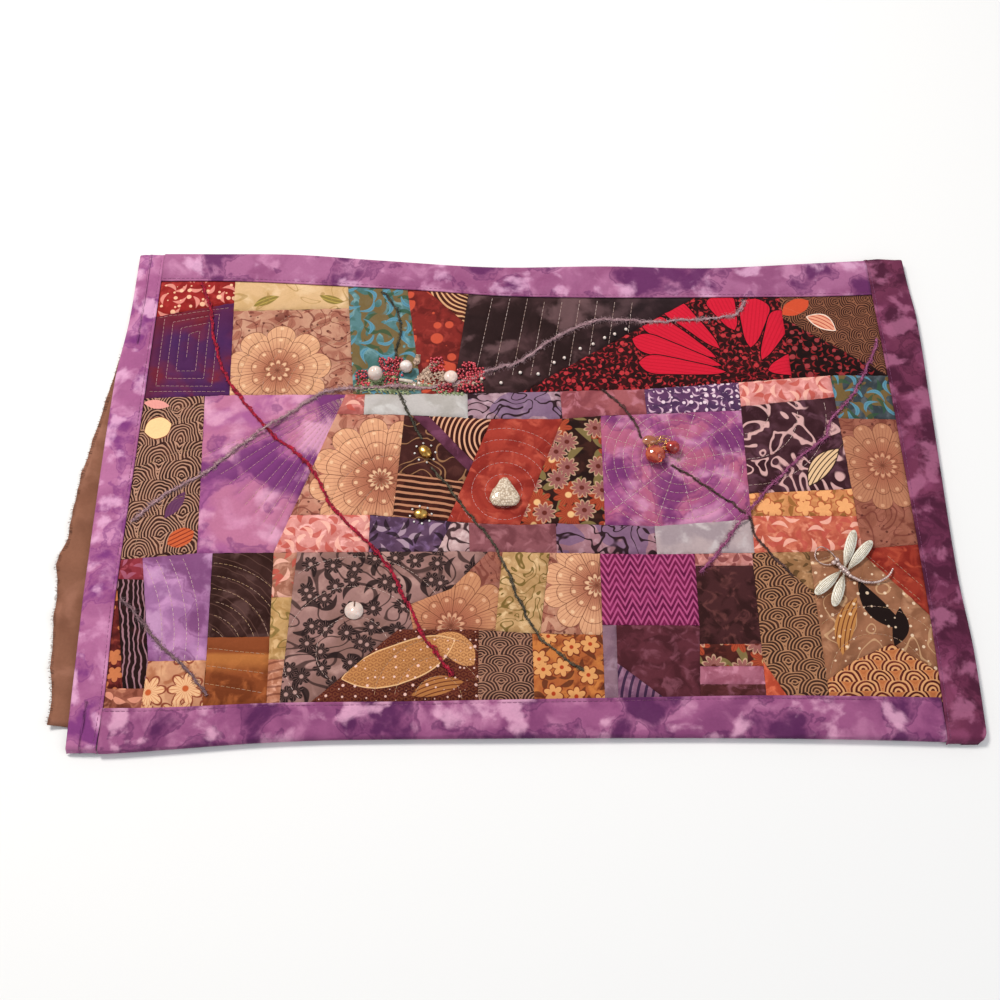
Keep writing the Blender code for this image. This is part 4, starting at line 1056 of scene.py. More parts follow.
        one_leaf(214, 38, 15, 16, 6, 2, Leaf=("b27a4a", 1.0), Ribs=("6a3422", 0.9)),
        speckle(size=6, seed=6, reach=0.16, Dot=("ecc8bc", 0.9))),
    "lime_scroll": ("c6a276 b08c60 dcbc92", 12, 0.6,
        scrolls(size=15, count=5, width=0.1, run=1.4, Line=("7a6430", 0.9))),
    "magenta_chevron": ("7c2250 6c1848 8e3060", 16, 0.4,
        chevrons(pitch=9.4, rise=9, row=5.6, width=2.4, Line=("c0628e", 0.85))),
    "periwinkle_slat": ("967884 886a78 a68a98", 14, 0.6),
    "maroon_plain": ("68343e 54262e 824e5a", 14, 0.8),
    "shell_stripe": ("90667c 7a526e a47c92", 10, 0.4,
        rings(centre=(372, 26, 0), pitch=4.6, width=1.7, Line=("30183c", 0.85))),
    "stripe_peach": ("c88c86 b4766e daa29a", 8, 0.6,
        leaves(size=8, seed=2, slim=0.22, Leaf=("8a4a48", 0.85))),
    "plum_dark": ("522c2e 3c1c1c 6e4240", 16, 1.4),
    "lilac_slat": ("b07284 9e5e70 c88c9e", 12, 0.6),
    "dark_slat": ("6a383c 542828 885460", 10, 0.8),
    "orange_corner": ("c86246 b45038 d87658", 10, 0.8),
    "olive_corner": ("b48a64 9c7450 c8a07c", 10, 0.8,
        scrolls(size=12, count=4, width=0.08, Line=("5c4426", 0.8))),
    "red_corner": ("a04030 8a2c22 b4543e", 14, 0.8),
    "white_black": ("ccaeac b89898 dcc2c0", 10, 0.4,
        scrolls(size=9, count=3, width=0.15, Line=("40262a", 0.95))),
}
CELL = 1.35
FINE_CELL = 1.0
outlines = cut_patches()
all_lines = stitched_lines()
surface_points = []
surface_faces = []
for number, (name, outline) in enumerate(sorted(outlines.items())):
    own = [point for patch, _, points in all_lines if patch == name for point in points]
    bm = patch_mesh(outline, FINE_CELL if own else CELL, own, number * 3.7)
    start = len(surface_points)
    bm.verts.index_update()
    surface_points.extend(vert.co.copy() for vert in bm.verts)
    surface_faces.extend([start + vert.index for vert in face.verts] for face in bm.faces)
    codes, size, run, *motifs = PRINTS[name]
    finish = cotton(name + "_cotton", codes, size, run, sum(motifs, []))
    patch = new_piece("patch_" + name, bm, finish, ("quilted_panel",))
    length, width, area = flat_size(outline)
patch_surface = BVHTree.FromPolygons(surface_points, surface_faces)


# Bindings
# Strips of purple batik cotton folded over the quilt's edge and sewn down on both sides; the
# side strips run full height and the top and bottom ones end at them. A line of machine
# stitching runs beside each inner fold.
FOLD_UNDER = 10.0
STRIP_CELL = 2.1


def binding_point(width, part):
    """Across a strip from its sewn inner fold over the edge to its hem below: inwards, up."""
    profile = ((0.9, -1.0), (0.1, -0.85), (0.0, -0.45), (0.25, -0.1), (0.9, 0.02), (2.0, -0.28),
               (3.4, 0.08), (6.0, 0.2), (10.0, 0.25), (width * 0.5, 0.25), (width - 6, 0.15),
               (width - 3, 0.0), (width - 1.4, -0.3), (width - 0.5, -0.9), (width - 0.05, -1.9),
               (width, -2.9), (width - 0.1, -4.0), (width - 0.5, -5.0), (width - 1.4, -5.55),
               (width - 3.0, -5.6), (width - FOLD_UNDER, -5.6))
    at = part * (len(profile) - 1)
    index = min(int(at), len(profile) - 2)
    t = at - index
    (a0, z0), (a1, z1) = profile[index], profile[index + 1]
    return a0 + (a1 - a0) * t, z0 + (z1 - z0) * t


def binding(name, stands_for, codes, inner, outer, start, end, upright, underside, flat):
    """One strip, its inner fold and outer edge given as curves along its length."""
    length = end - start
    count = 20 if underside else 14
    bm = bmesh.new()
    bmesh.ops.create_grid(bm, x_segments=count * 2, y_segments=round(length / STRIP_CELL), size=0.5)
    for vert in bm.verts:
        part = (vert.co.x + 0.5) * count / 20
        along = start + (vert.co.y + 0.5) * length
        fold, edge = inner(along), outer(along)
        width = abs(edge - fold)
        inward, height = binding_point(width, part)
        across = fold + (inward if edge > fold else -inward)
        u, v = (across, along) if upright else (along, across)
        end_gap = min(along - start, end - along)
        closing = min(end_gap / 2.2, 1.0)
        ripple = (0.75 * noise.noise(Vector((u / 11, v / 11, 4))) + 0.42 * noise.noise(
            Vector((u / 4, v / 4, 8)))) * min(1.0, inward / 4) * (1 if height > -0.5 else 0)
        z = BINDING_TOP + swell(u, v) * (1 if height > -1.2 else 0) + height + ripple
        if upright and height > -4.0:
            z -= (1 - math.sqrt(1 - (1 - closing) ** 2)) * 3.4
        vert.co = place(u, v, max(z, 0.1))
    bmesh.ops.recalc_face_normals(bm, faces=bm.faces)
    top = max(bm.faces, key=lambda face: face.calc_center_median().z)
    if top.normal.z < 0:
        bmesh.ops.reverse_faces(bm, faces=bm.faces)
    made = new_piece(name, bm, cotton(name + "_cotton", *codes, relief=0.3), (stands_for,))
    thicken(made, 0.3)


def along_table(table):
    return lambda position: curve_value(table, position)


def round_corner(v):
    """The right edge, drawn in along an arc at its lower end."""
    radius = 8.0
    start = curve_value(BOTTOM_EDGE, 538) + radius
    if v >= start:
        return curve_value(RIGHT_EDGE, v)
    drop = min(start - v, radius)
    return curve_value(RIGHT_EDGE, v) - radius + math.sqrt(radius ** 2 - 0.9 * drop ** 2)


binding("left_binding", "binding_left",
        ("b8789e a86690 cc92b4", 34, 0.5, stained("843f80", "e6b6d2", 28, 1, 0.52)),
        along_table(LEFT_SEAM), along_table(LEFT_EDGE), -1.1, 355.6, True, False, (0.024, 0.357))
binding("right_binding", "binding_right",
        ("7c3e5a 703452 8e4c6c", 40, 0.3, stained("54223c", "b0708e", 24, 4, 0.48)),
        along_table(RIGHT_SEAM), round_corner, 2.3, 352.8, True, True, (0.042, 0.351))
binding("top_binding", "binding_top",
        ("ae7296 9c5e84 c48cac", 34, 0.5, stained("6c3266", "deb0cc", 30, 7, 0.53)),
        along_table(TOP_SEAM), along_table(TOP_EDGE), 18.2, 513.6, False, True, (0.043, 0.496))
binding("bottom_binding", "binding_bottom",
        ("a2628a 8e507a b87c9e", 32, 0.5, stained("602c5c", "e2b0c8", 32, 9, 0.51)),
        along_table(BOTTOM_SEAM), along_table(BOTTOM_EDGE), 18.0, 514.2, False, True, (0.040, 0.496))


# Stitches
# Cotton thread in single machine stitches along every quilted line, and along the inner folds
# of the bindings; each stitch sinks at both ends.
THREAD_CODES = {"pale": "ecd2ca", "rose": "e6b0b4", "gold": "c8a070"}
STITCH = 2.8
STITCH_GAP = 0.4
THREAD_RADIUS = 0.13


def top_of(u, v):
    """Height of the patches at a point, in millimetres."""
    hit = patch_surface.ray_cast(place(u, v, 40), Vector((0, 0, -1)))
    return hit[0].z / MM if hit[0] else PANEL_TOP


def thread_piece(name, runs, radius, material, sides=0, stands_for=()):
    """Threads, stitches or fibres: each run is a row of points (u, v, z, share of the radius)."""
    curve = bpy.data.curves.new(name, "CURVE")
    curve.dimensions = "3D"
    curve.bevel_depth = radius * MM
    curve.bevel_resolution = sides
    curve.use_fill_caps = True
    for run in runs:
        spline = curve.splines.new("POLY")
        spline.points.add(len(run) - 1)
        for point, (u, v, z, share) in zip(spline.points, run):
            point.co = (*place(u, v, z), 1.0)
            point.radius = share
    drawn = bpy.data.objects.new(name + "_drawn", curve)
    bpy.context.collection.objects.link(drawn)
    mesh = bpy.data.meshes.new_from_object(drawn)
    bpy.data.objects.remove(drawn)
    bm = bmesh.new()
    bm.from_mesh(mesh)
    bpy.data.meshes.remove(mesh)
    return new_piece(name, bm, material, stands_for)


def patchy_finish(name, code, second, size, detail, low, high, roughness, metallic=0.0, **more):
    """A finish of two colours in soft patches; gives back the material, shader and place."""
    made, tree, shader = plain_finish(name, code, roughness, metallic, **more)
    at = millimetres(tree, flat=False)
    patches = soft_step(cloud(at, size, detail), low, high)
    feed(shader.inputs["Base Color"], blend(patches, dye(code), dye(second)))
    return made, shader, at


def thread_finish(name, code, second, relief=0.4):
    """Twisted thread or yarn, uneven in colour along its length."""
    made, shader, at = patchy_finish(name, code, second, 2.2, 3.0, 0.38, 0.62, 0.8, Sheen_Weight=0.06,
                                     Specular_IOR_Level=0.2)
    raise_surface(shader, cloud(at, 0.5, 2.0), relief)
    return made


def stitches(points, height, lift=0.1):
    """Single stitches along points one millimetre apart."""
    runs = []
    path = even_steps(points, 0.4)
    step = round((STITCH + STITCH_GAP) / 0.4)
    reach = round(STITCH / 0.4)
    for start in range(0, len(path) - reach, step):
        run = []
        for k, share, rise in ((0, 0.55, -0.25), (1, 1.0, lift), (reach // 2, 1.0, lift + 0.1),
                               (reach - 1, 1.0, lift), (reach, 0.55, -0.25)):
            u, v = path[start + k]
            run.append((u, v, height(u, v) + rise, share))
        runs.append(run)
    return runs


sewn = {key: [] for key in THREAD_CODES}
for patch, thread, points in all_lines:
    inside = []
    for point in [*points, None]:
        if point is not None and is_inside(outlines[patch], point) and window_distance(*point) > 0.6:
            inside.append(point)
            continue
        if len(inside) > 4:
            sewn[thread].extend(stitches(inside, top_of))
        inside = []
for key, runs in sewn.items():
    finish = thread_finish(key + "_thread", THREAD_CODES[key], "c4a090")
    piece = thread_piece("quilting_" + key, runs, THREAD_RADIUS, finish)


def fold_height(u, v):
    return BINDING_TOP + swell(u, v) - 0.25


runs = []
for table, shift, start, end, upright in (
        (LEFT_SEAM, -2.0, 1, 353, True), (RIGHT_SEAM, 2.0, 5, 350, True),
        (TOP_SEAM, 2.0, 19, 513, False), (BOTTOM_SEAM, -2.0, 19, 513, False)):
    row = [(curve_value(table, a) + shift, a) if upright else (a, curve_value(table, a) + shift)
           for a in range(start, end)]
    runs.extend(stitches(row, fold_height))
finish = thread_finish("plum_thread", "7a4468", "94587e")
piece = thread_piece("binding_stitches", runs, THREAD_RADIUS, finish)

# Loose ends of the backing's own threads, along its raw left side
chance = random.Random(3)
frays = []
v = 16.5
while v < 325:
    u = curve_value(RAW_EDGE, v)
    reach = chance.uniform(0.4, 1.9)
    lean = chance.uniform(-1.2, 1.2)
    level = backing_height(u, v)
    frays.append([(u + 1.5, v, level, 0.8), (u - 0.4 * reach, v + 0.2 * lean, level + 0.2, 1.0),
                  (u - reach, v + lean, max(level - 0.3, 0.3), 0.6)])
    v += chance.uniform(0.7, 1.7)
piece = thread_piece("backing_frays", frays, 0.17, thread_finish("brown_thread", "6a4434", "8c6250"))


# Couched yarns
# Fuzzy and cabled yarns laid on the patches in long curves and sewn down with small stitches;
# each is two or three plies twisted together with loose fibres standing out of it.
# Yarn: node, ply radius, plies, twist length, codes, fibres a millimetre, fibre reach, points
YARNS = (
    ("yarn_crimson", 0.42, 2, 5.0, ("b81c3a", "741228"), 2.6, 1.9,
     ((47, 329), (52, 315), (57, 296), (64, 268), (74, 247), (99, 214.5), (130, 185), (146, 156),
      (172, 128), (186, 109.5), (195, 90.5), (205, 70.5), (222.5, 44)), ()),
    ("yarn_moss_upper", 0.28, 2, 5.0, ("2a2a22", "5a5446"), 2.4, 1.9,
     ((172, 323), (181, 311), (185, 298), (185, 284), (183, 270), (184.5, 257), (186, 242), (192, 227),
      (201, 206)), ()),
    ("yarn_moss_lower", 0.28, 2, 5.0, ("302c24", "665c4a"), 2.4, 1.9,
     ((208.5, 184), (220, 170), (232.5, 151), (247.5, 132), (257.5, 110), (264, 92), (277, 67),
      (301, 47)), ()),
    ("yarn_charcoal_upper", 0.28, 2, 5.0, ("33221e", "664844"), 2.4, 1.8,
     ((322, 243), (332.5, 232), (341, 219), (346, 206)), ()),
    ("yarn_charcoal_lower", 0.28, 2, 5.0, ("33221e", "664844"), 2.4, 1.8,
     ((364.5, 185.5), (381, 174), (402, 157), (410.5, 148), (415, 134), (426.5, 118.5), (434, 109)), ()),
    ("yarn_grey_plume", 0.3, 2, 8.0, ("8e6a72", "c8a6aa"), 4.6, 3.8,
     ((20, 146), (40, 166), (62, 180), (87, 203), (116, 226), (134, 240), (160, 244.5), (200, 244.5),
      (230, 249), (246, 258), (266, 265), (292, 285), (322, 298), (360, 298), (398, 300), (416, 304),
      (425, 315)), ((101.5, 213.5), (186, 244.5))),
    ("yarn_grey_corner", 0.28, 2, 7.0, ("664a50", "94767a"), 4.4, 3.2,
     ((20, 94), (31, 83), (40, 72), (50, 61), (62, 51), (78, 33)), ()),
    ("yarn_plum", 0.3, 2, 8.0, ("7c2e5a", "b0688e"), 4.4, 3.6,
     ((512, 283), (506, 268), (490, 240), (474, 222), (466, 206), (449, 192), (428, 172), (411, 152),
      (398, 136), (386, 120), (377, 111)), ((410, 149.5),)),
)


def smooth_route(points, step):
    """Points about one step apart on a smooth curve through the given ones."""
    route = []
    for i in range(len(points) - 1):
        p0 = Vector(points[max(i - 1, 0)])
        p1 = Vector(points[i])
        p2 = Vector(points[i + 1])
        p3 = Vector(points[min(i + 2, len(points) - 1)])
        count = max(1, round((p2 - p1).length / step))
        for k in range(count):
            t = k / count
            route.append(0.5 * (2 * p1 + (p2 - p0) * t + (2 * p0 - 5 * p1 + 4 * p2 - p3) * t ** 2
                                + (3 * p1 - p0 - 3 * p2 + p3) * t ** 3))
    route.append(Vector(points[-1]))
    return route


def yarn(name, ply, plies, twist, codes, hairs, reach, points, crossings):
    """A twisted yarn lying on the cloth, lifted over another where they cross, with its fibres."""
    chance = random.Random(name)
    route = smooth_route(points, 0.7)
    wander = [Vector((p.x + 1.4 * noise.noise(Vector((p.x / 7, p.y / 7, 1))),
                      p.y + 1.4 * noise.noise(Vector((p.x / 7, p.y / 7, 2))))) for p in route]
    raw = [top_of(*p) for p in wander]
    heights = []
    for i, p in enumerate(wander):
        near = raw[max(0, i - 4):i + 5]
        lift = 0.0
        for crossing in crossings:
            away = min(max((math.dist(p, crossing) - 3.0) / 10.0, 0.0), 1.0)
            lift = max(lift, 2.6 * (1 - away * away * (3 - 2 * away)))
        heights.append(0.5 * max(near) + 0.5 * sum(near) / len(near) + ply * 1.35 + 0.25 + lift)
    runs = []
    for k in range(plies):
        run = []
        for i, p in enumerate(wander):
            ahead = wander[min(i + 1, len(wander) - 1)] - wander[max(i - 1, 0)]
            side = Vector((-ahead.y, ahead.x)).normalized()
            turn = math.tau * (i * 0.7 / twist + k / plies)
            swing = ply * 0.95 * math.cos(turn)
            thick = 1.0 + 0.5 * noise.noise(Vector((i * 0.3, k * 5.1, 0)))
            thick += 1.6 * max(0.0, noise.noise(Vector((i * 0.9, k * 3.3, 7))) - 0.2)
            run.append((p.x + side.x * swing, p.y + side.y * swing,
                        heights[i] + ply * 0.6 * math.sin(turn), thick))
        runs.append(run)
    for k, (pace, wide, share) in enumerate(((0.9, 0.9, 1.0), (-1.35, 1.5, 0.75))):
        curls = []
        for i, p in enumerate(wander):
            turn = i * pace + 2.0 * noise.noise(Vector((i * 0.11, k * 8.0, 3)))
            swing = (wide + ply) * (0.35 + 1.5 * abs(noise.noise(Vector((i * 0.13, 4, k * 6.0)))))
            curls.append((p.x + swing * math.cos(turn), p.y + swing * math.sin(turn),
                          heights[i] + 0.4 * math.sin(i * 0.5), share))
        runs.append(curls)
    finish = thread_finish(name + "_wool", *codes, relief=0.8)
    body = thread_piece(name + "_plies", runs, ply, finish, 1, (name,))
    fibres = []
    for _ in range(round(len(route) * 0.7 * hairs)):
        i = chance.randrange(len(wander))
        p = wander[i]
        turn = chance.uniform(0, math.tau)
        bend = chance.uniform(-3.0, 3.0)
        length = reach * chance.uniform(0.5, 1.15)
        tall = chance.uniform(0.1, 0.9)
        fibre = []
        u, v = p
        for k in range(4):
            t = k / 3
            z = heights[i] + ply * 0.7 + tall * math.sin(math.pi * min(t * 1.25, 1.0)) - 1.3 * t * t
            fibre.append((u, v, max(z, top_of(u, v) + 0.12), 1.0 - 0.5 * t))
            u += length / 3 * math.cos(turn + bend * t)
            v += length / 3 * math.sin(turn + bend * t)
        fibres.append(fibre)
    fluff = thread_piece(name + "_fibres", fibres, 0.095, thread_finish(name + "_down", codes[1], codes[0]))
    ties = []
    for i in range(4, len(wander) - 4, 11):
        p = wander[i]
        ahead = (wander[i + 3] - wander[i - 3]).normalized()
        side = Vector((-ahead.y + 0.4 * ahead.x, ahead.x + 0.4 * ahead.y)) * ply * 1.9
        low = min(raw[i], heights[i] - ply)
        ties.append([(p.x - side.x, p.y - side.y, low, 0.8), (p.x - side.x * 0.7, p.y - side.y * 0.7,
                     heights[i] + ply * 0.3, 1.0), (p.x, p.y, heights[i] + ply * 1.45, 1.0),
                     (p.x + side.x * 0.7, p.y + side.y * 0.7, heights[i] + ply * 0.3, 1.0),
                     (p.x + side.x, p.y + side.y, low, 0.8)])
    tied = thread_piece(name + "_ties", ties, 0.13, finish)


for row in YARNS:
    yarn(*row)


# Embroidered sprays
# Short curved stems and straight leaf stitches in green and buff cotton, worked over and
# under the pearls at the left of the upper course.
# Spray: start, direction in degrees, length, codes
SPRAYS = (
    (157, 243, 22, 26, "green"), (163, 246, 5, 30, "green"), (176, 243, 18, 26, "buff"),
    (186, 247, -8, 26, "green"), (195, 243, 30, 24, "buff"), (205, 246, 12, 26, "buff"),
    (168, 247, 40, 14, "green"), (198, 250, 55, 12, "buff"), (212, 249, 48, 12, "buff"),
    (181, 249, 60, 13, "green"), (222, 246, 8, 20, "buff"), (208, 243, -4, 22, "green"),
    (156, 247, 8, 18, "green"), (170, 243, -6, 24, "green"), (196, 251, 20, 22, "buff"),
    (200, 255, 34, 16, "buff"), (160, 242, 2, 40, "green"), (196, 262, 80, 9, "buff"),
    (204, 250, 70, 16, "buff"), (186, 243, 8, 30, "buff"), (228, 250, 24, 15, "buff"),
)
SPRAY_CODES = {"green": ("a8b088", "6a7850"), "buff": ("ccb09a", "8e7464")}
grown = {key: [] for key in SPRAY_CODES}
for number, (u, v, angle, length, key) in enumerate(SPRAYS):
    stem = []
    turn = math.radians(angle)
    for k in range(9):
        lift = 0.7 if 0 < k < 8 else -0.1
        stem.append((u, v, top_of(u, v) + lift, 1.0))
        if 0 < k < 8:
            for side in (-1, 1):
                lean = turn + side * 0.8
                reach = 3.5 * (1 - 0.06 * k)
                tip = (u + reach * math.cos(lean), v + reach * math.sin(lean))
                half = (u + reach * 0.5 * math.cos(lean), v + reach * 0.5 * math.sin(lean))
                grown[key].append([(u, v, top_of(u, v) + 0.1, 0.7), (*half, top_of(*half) + 0.6, 1.5),
                                   (*tip, top_of(*tip) - 0.05, 0.6)])
        turn += 0.09 * math.sin(number * 2.1 + k)
        u += length / 8 * math.cos(turn)
        v += length / 8 * math.sin(turn)
    grown[key].append(stem)
for key, runs in grown.items():
    finish = thread_finish(key + "_floss", *SPRAY_CODES[key])
    piece = thread_piece("embroidery_" + key, runs, 0.46, finish, 2)


# Pearls and the shell disc
# Round and button pearls with a pale lustre and a drilled hole, and a flat shell disc with a hole
# near its edge, held by a thread stitch.
# Pearl: node, u, v, half width, half height, code
PEARLS = (
    ("pearl_left", 170, 253, 5.0, 5.0, "e2d2c6"),
    ("pearl_middle", 190.4, 259, 4.3, 4.3, "ece2da"),
    ("pearl_right", 220.4, 252, 4.7, 2.6, "ead2c4"),
)


def pearl_finish(name, code):
    return patchy_finish(name, code, "d8bfb4", 3.0, 3.0, 0.35, 0.7, 0.22, Coat_Weight=0.7,
                         Coat_Roughness=0.08, Subsurface_Weight=0.15,
                         Subsurface_Radius=(0.002, 0.0012, 0.001))[0]


def pearl(bm, u, v, wide, tall, z, segments=40, rings=24, lumps=0.0):
    ball = bmesh.ops.create_uvsphere(bm, u_segments=segments, v_segments=rings, radius=1.0)["verts"]
    for vert in ball:
        share = 1 + lumps * noise.noise(Vector(vert.co) * 2.2 + Vector((u, v, 0)))
        if vert.co.z > 0.985:
            share *= 0.93
        vert.co = place(u + vert.co.x * wide * share, v + vert.co.y * wide * share,
                        z + vert.co.z * tall * share)


for node, u, v, wide, tall, code in PEARLS:
    bm = bmesh.new()
    pearl(bm, u, v, wide, tall, top_of(u, v) + tall - 0.15, lumps=0.02)
    piece = new_piece(node + "_nacre", bm, pearl_finish(node + "_lustre", code), (node,))

bm = bmesh.new()
DISC = (162.8, 85.6, 5.7)
ring = bmesh.ops.create_circle(bm, cap_ends=True, segments=56, radius=1.0)["verts"]
bmesh.ops.inset_region(bm, faces=list(bm.faces), thickness=0.12, depth=0.06)
bmesh.ops.inset_region(bm, faces=[max(bm.faces, key=lambda f: f.calc_area())], thickness=0.1, depth=0.02)
disc_top = top_of(DISC[0], DISC[1]) + 0.35
for vert in bm.verts:
    dome = 1.0 - 0.5 * (vert.co.x ** 2 + vert.co.y ** 2)
    vert.co = place(DISC[0] + vert.co.x * DISC[2], DISC[1] + vert.co.y * DISC[2], disc_top + 1.1 * dome)
disc_rim = [edge for edge in bm.edges if edge.is_boundary]
wall = bmesh.ops.extrude_edge_only(bm, edges=disc_rim)["geom"]
for vert in (item for item in wall if isinstance(item, bmesh.types.BMVert)):
    vert.co.z -= 0.9 * MM
bmesh.ops.holes_fill(bm, edges=[edge for edge in bm.edges if edge.is_boundary])
bmesh.ops.recalc_face_normals(bm, faces=bm.faces)
piece = new_piece("shell_button", bm, pearl_finish("shell_lustre", "e6cfc2"), ("shell_disc",))
stitch = [(162.8, 88.2, disc_top + 0.7, 1.0), (162.9, 89.4, disc_top + 1.2, 1.0),
          (163.0, 91.4, disc_top + 0.9, 1.0), (163.1, 92.2, disc_top - 0.6, 1.0)]
# The stitch out of the disc's hole is a real thread, coloured dark brown as painted shade of the hole.
hole = thread_piece("shell_stitch", [stitch], 0.35, thread_finish("hole_shade_thread", "8a6a5c", "6c4c40"), 2)


# Seed beads
# Small glass beads sewn on singly: red ones heaped about the pearls, and tiny pearls in an
# uneven line across the charcoal patch, with one longer bugle bead.
# Heap: lowest u, highest u, lowest v, highest v, number
RED_HEAPS = (
    (157, 166, 246, 257, 26), (172, 188, 254, 268, 74), (176, 186, 246, 252, 14), (206, 216, 257, 268, 22),
    (211, 221, 241, 247, 22), (224, 243, 250, 259, 46), (225, 242, 241, 250, 30), (228, 237, 258, 264, 14),
)
TINY_PEARLS = ((241, 251), (254, 248), (267, 256), (279, 255), (290, 264), (297, 268), (308, 275),
               (317, 279), (325, 284), (332, 287), (340, 291), (196, 246), (194, 249), (199, 248))


def bead_finish(name, code, second, roughness=0.12, **more):
    values = {"Coat_Weight": 0.35, "Coat_Roughness": 0.15, **more}
    return patchy_finish(name, code, second, 4.0, 2.0, 0.4, 0.6, roughness, **values)[0]


def seed_bead(bm, u, v, z, wide, turn, tilt):
    """A short barrel with rounded ends, turned on the cloth."""
    ball = bmesh.ops.create_uvsphere(bm, u_segments=10, v_segments=6, radius=1.0)["verts"]
    matrix = Matrix.Rotation(turn, 4, "Z") @ Matrix.Rotation(tilt, 4, "X")
    for vert in ball:
        at = matrix @ Vector((vert.co.x * wide, vert.co.y * wide, vert.co.z * wide * 0.72))
        vert.co = place(u + at.x, v + at.y, z + at.z)


chance = random.Random(5)
bm = bmesh.new()
laid = []
for low_u, high_u, low_v, high_v, count in RED_HEAPS:
    for _ in range(count):
        for _ in range(12):
            u, v = chance.uniform(low_u, high_u), chance.uniform(low_v, high_v)
            if all(math.dist((u, v), (p[1], p[2])) > p[3] + 0.8 for p in PEARLS) and all(
                    math.dist((u, v), other) > 1.5 for other in laid):
                break
        laid.append((u, v))
        seed_bead(bm, u, v, top_of(u, v) + 0.8 + chance.uniform(0, 0.7), 0.95,
                  chance.uniform(0, 6), chance.uniform(-1.4, 1.4))
piece = new_piece("red_seed_beads", bm, bead_finish("red_bead_glass", "d04450", "96202e", 0.3))
bm = bmesh.new()
for u, v in TINY_PEARLS:
    pearl(bm, u, v, 1.15, 1.1, top_of(u, v) + 0.95, 16, 10)
piece = new_piece("tiny_pearls", bm, pearl_finish("tiny_lustre", "efe6dc"))
bugle_z = top_of(190, 249) + 1.4
piece = thread_piece("bugle_bead", [[(186, 250, bugle_z, 1.0), (190, 249.3, bugle_z + 0.2, 1.05),
                                     (194, 248.6, bugle_z, 1.0)]], 1.15,
                     bead_finish("bugle_glass", "e8e0d4", "cfc0ae"), 4)


# Stone
# A pale tumbled stone, a rounded triangle with a pitted, sparkling face.
STONE_AT = (255.6, 165)
made, tree, shader = plain_finish("pitted_stone", "cdb8a6", 0.45, Coat_Weight=0.4)
pits = put("TexVoronoi", millimetres(tree, flat=False))
feed(pits.inputs["Scale"], 0.75)
pit = Shade(pits.outputs["Distance"])
# Painted shade: the stone's colour is darker in the low grooves between the bumps.
feed(shader.inputs["Base Color"], blend(soft_step(pit, 0.15, 0.75), dye("ead8c0"), dye("b29a80")))
raise_surface(shader, 1.0 - pit, 0.9, 0.0006)
bm = bmesh.new()
stone = bmesh.ops.create_uvsphere(bm, u_segments=72, v_segments=48, radius=1.0)["verts"]
stone_z = top_of(*STONE_AT) + 2.5
for vert in stone:
    x, y, z = vert.co
    lobe = 1 + 0.09 * math.cos(3 * (math.atan2(y, x) - math.pi / 2)) - 0.02
    lump = 1 + 0.05 * noise.noise(vert.co * 3.0) + 0.03 * noise.noise(vert.co * 9.0)
    x, y = x * lobe * lump * (1 - 0.3 * y), y * lobe * lump
    vert.co = place(STONE_AT[0] + x * 8.7, STONE_AT[1] + y * 10.4, stone_z + 2.8 * z * lump)
piece = new_piece("wired_stone", bm, made, ("stone_nugget",))


# Gold beads
# Two small oval gilt domes, each with a ring of tiny clear stones about it.
# Bead: node, u, v, half length, half width, half height, turn in degrees
GOLD_BEADS = (("gold_bead_upper", 204.2, 195, 5.2, 3.8, 2.6, -50),
              ("gold_bead_lower", 202.3, 150.4, 4.7, 3.5, 2.4, -5))
gilt, shader, at = patchy_finish("worn_gilt", "e6bc6a", "a8702c", 2.0, 3.0, 0.35, 0.7, 0.25, 1.0)
feed(shader.inputs["Roughness"], soft_step(cloud(at, 1.0, 2.0), 0.3, 0.7, 0.15, 0.4, "LINEAR"))
clear = bead_finish("clear_stone", "f2eee8", "c8c0b8", 0.05)
for node, u, v, length, width, height, turn in GOLD_BEADS:
    bm = bmesh.new()
    dome = bmesh.ops.create_uvsphere(bm, u_segments=36, v_segments=20, radius=1.0)["verts"]
    level = top_of(u, v)
    c, s = math.cos(math.radians(turn)), math.sin(math.radians(turn))
    for vert in dome:
        groove = 1 - 0.06 * math.exp(-((vert.co.z - 0.15) / 0.1) ** 2)
        x, y = vert.co.x * length * groove, vert.co.y * width * groove
        vert.co = place(u + x * c - y * s, v + x * s + y * c, level + height * 0.9 + vert.co.z * height)
    piece = new_piece(node + "_dome", bm, gilt, (node,))
    bm = bmesh.new()
    for k in range(8):
        turn_k = math.tau * k / 8 + 0.2
        du, dv = (length + 2.2) * math.cos(turn_k), (width + 2.6) * math.sin(turn_k)
        at_u, at_v = u + du * c - dv * s, v + du * s + dv * c
        seed_bead(bm, at_u, at_v, top_of(at_u, at_v) + 0.6, 0.75, turn_k, 0.3)
    piece = new_piece(node + "_stones", bm, clear)


# Glass beads and wire
# Two red glass beads and an amber one bunched on a tangle of fine gilt wire.
GLASS = (("red_bead_large", 353.5, 191.8, 6.6, 6.2, 4.6, "b43420", "dc6a40"),
         ("red_bead_small", 365.2, 197.2, 4.6, 4.6, 3.8, "981c18", "cc3c30"),
         ("amber_bead", 350.6, 202.8, 4.8, 3.6, 2.6, "b86a44", "e0a47c"))
for node, u, v, length, width, height, code, second in GLASS:
    finish = bead_finish(node + "_glass", code, second, 0.06, Transmission_Weight=0.35, Coat_Weight=0.6)
    bm = bmesh.new()
    ball = bmesh.ops.create_icosphere(bm, subdivisions=4, radius=1.0)["verts"]
    level = top_of(u, v)
    for vert in ball:
        facet = 1 + 0.05 * noise.noise(vert.co * 1.9 + Vector((u, 0, 0)))
        vert.co = place(u + vert.co.x * length * facet, v + vert.co.y * width * facet,
                        level + height + vert.co.z * height * facet)
    piece = new_piece(node + "_blob", bm, finish, (node,))
wires = []
chance = random.Random(11)
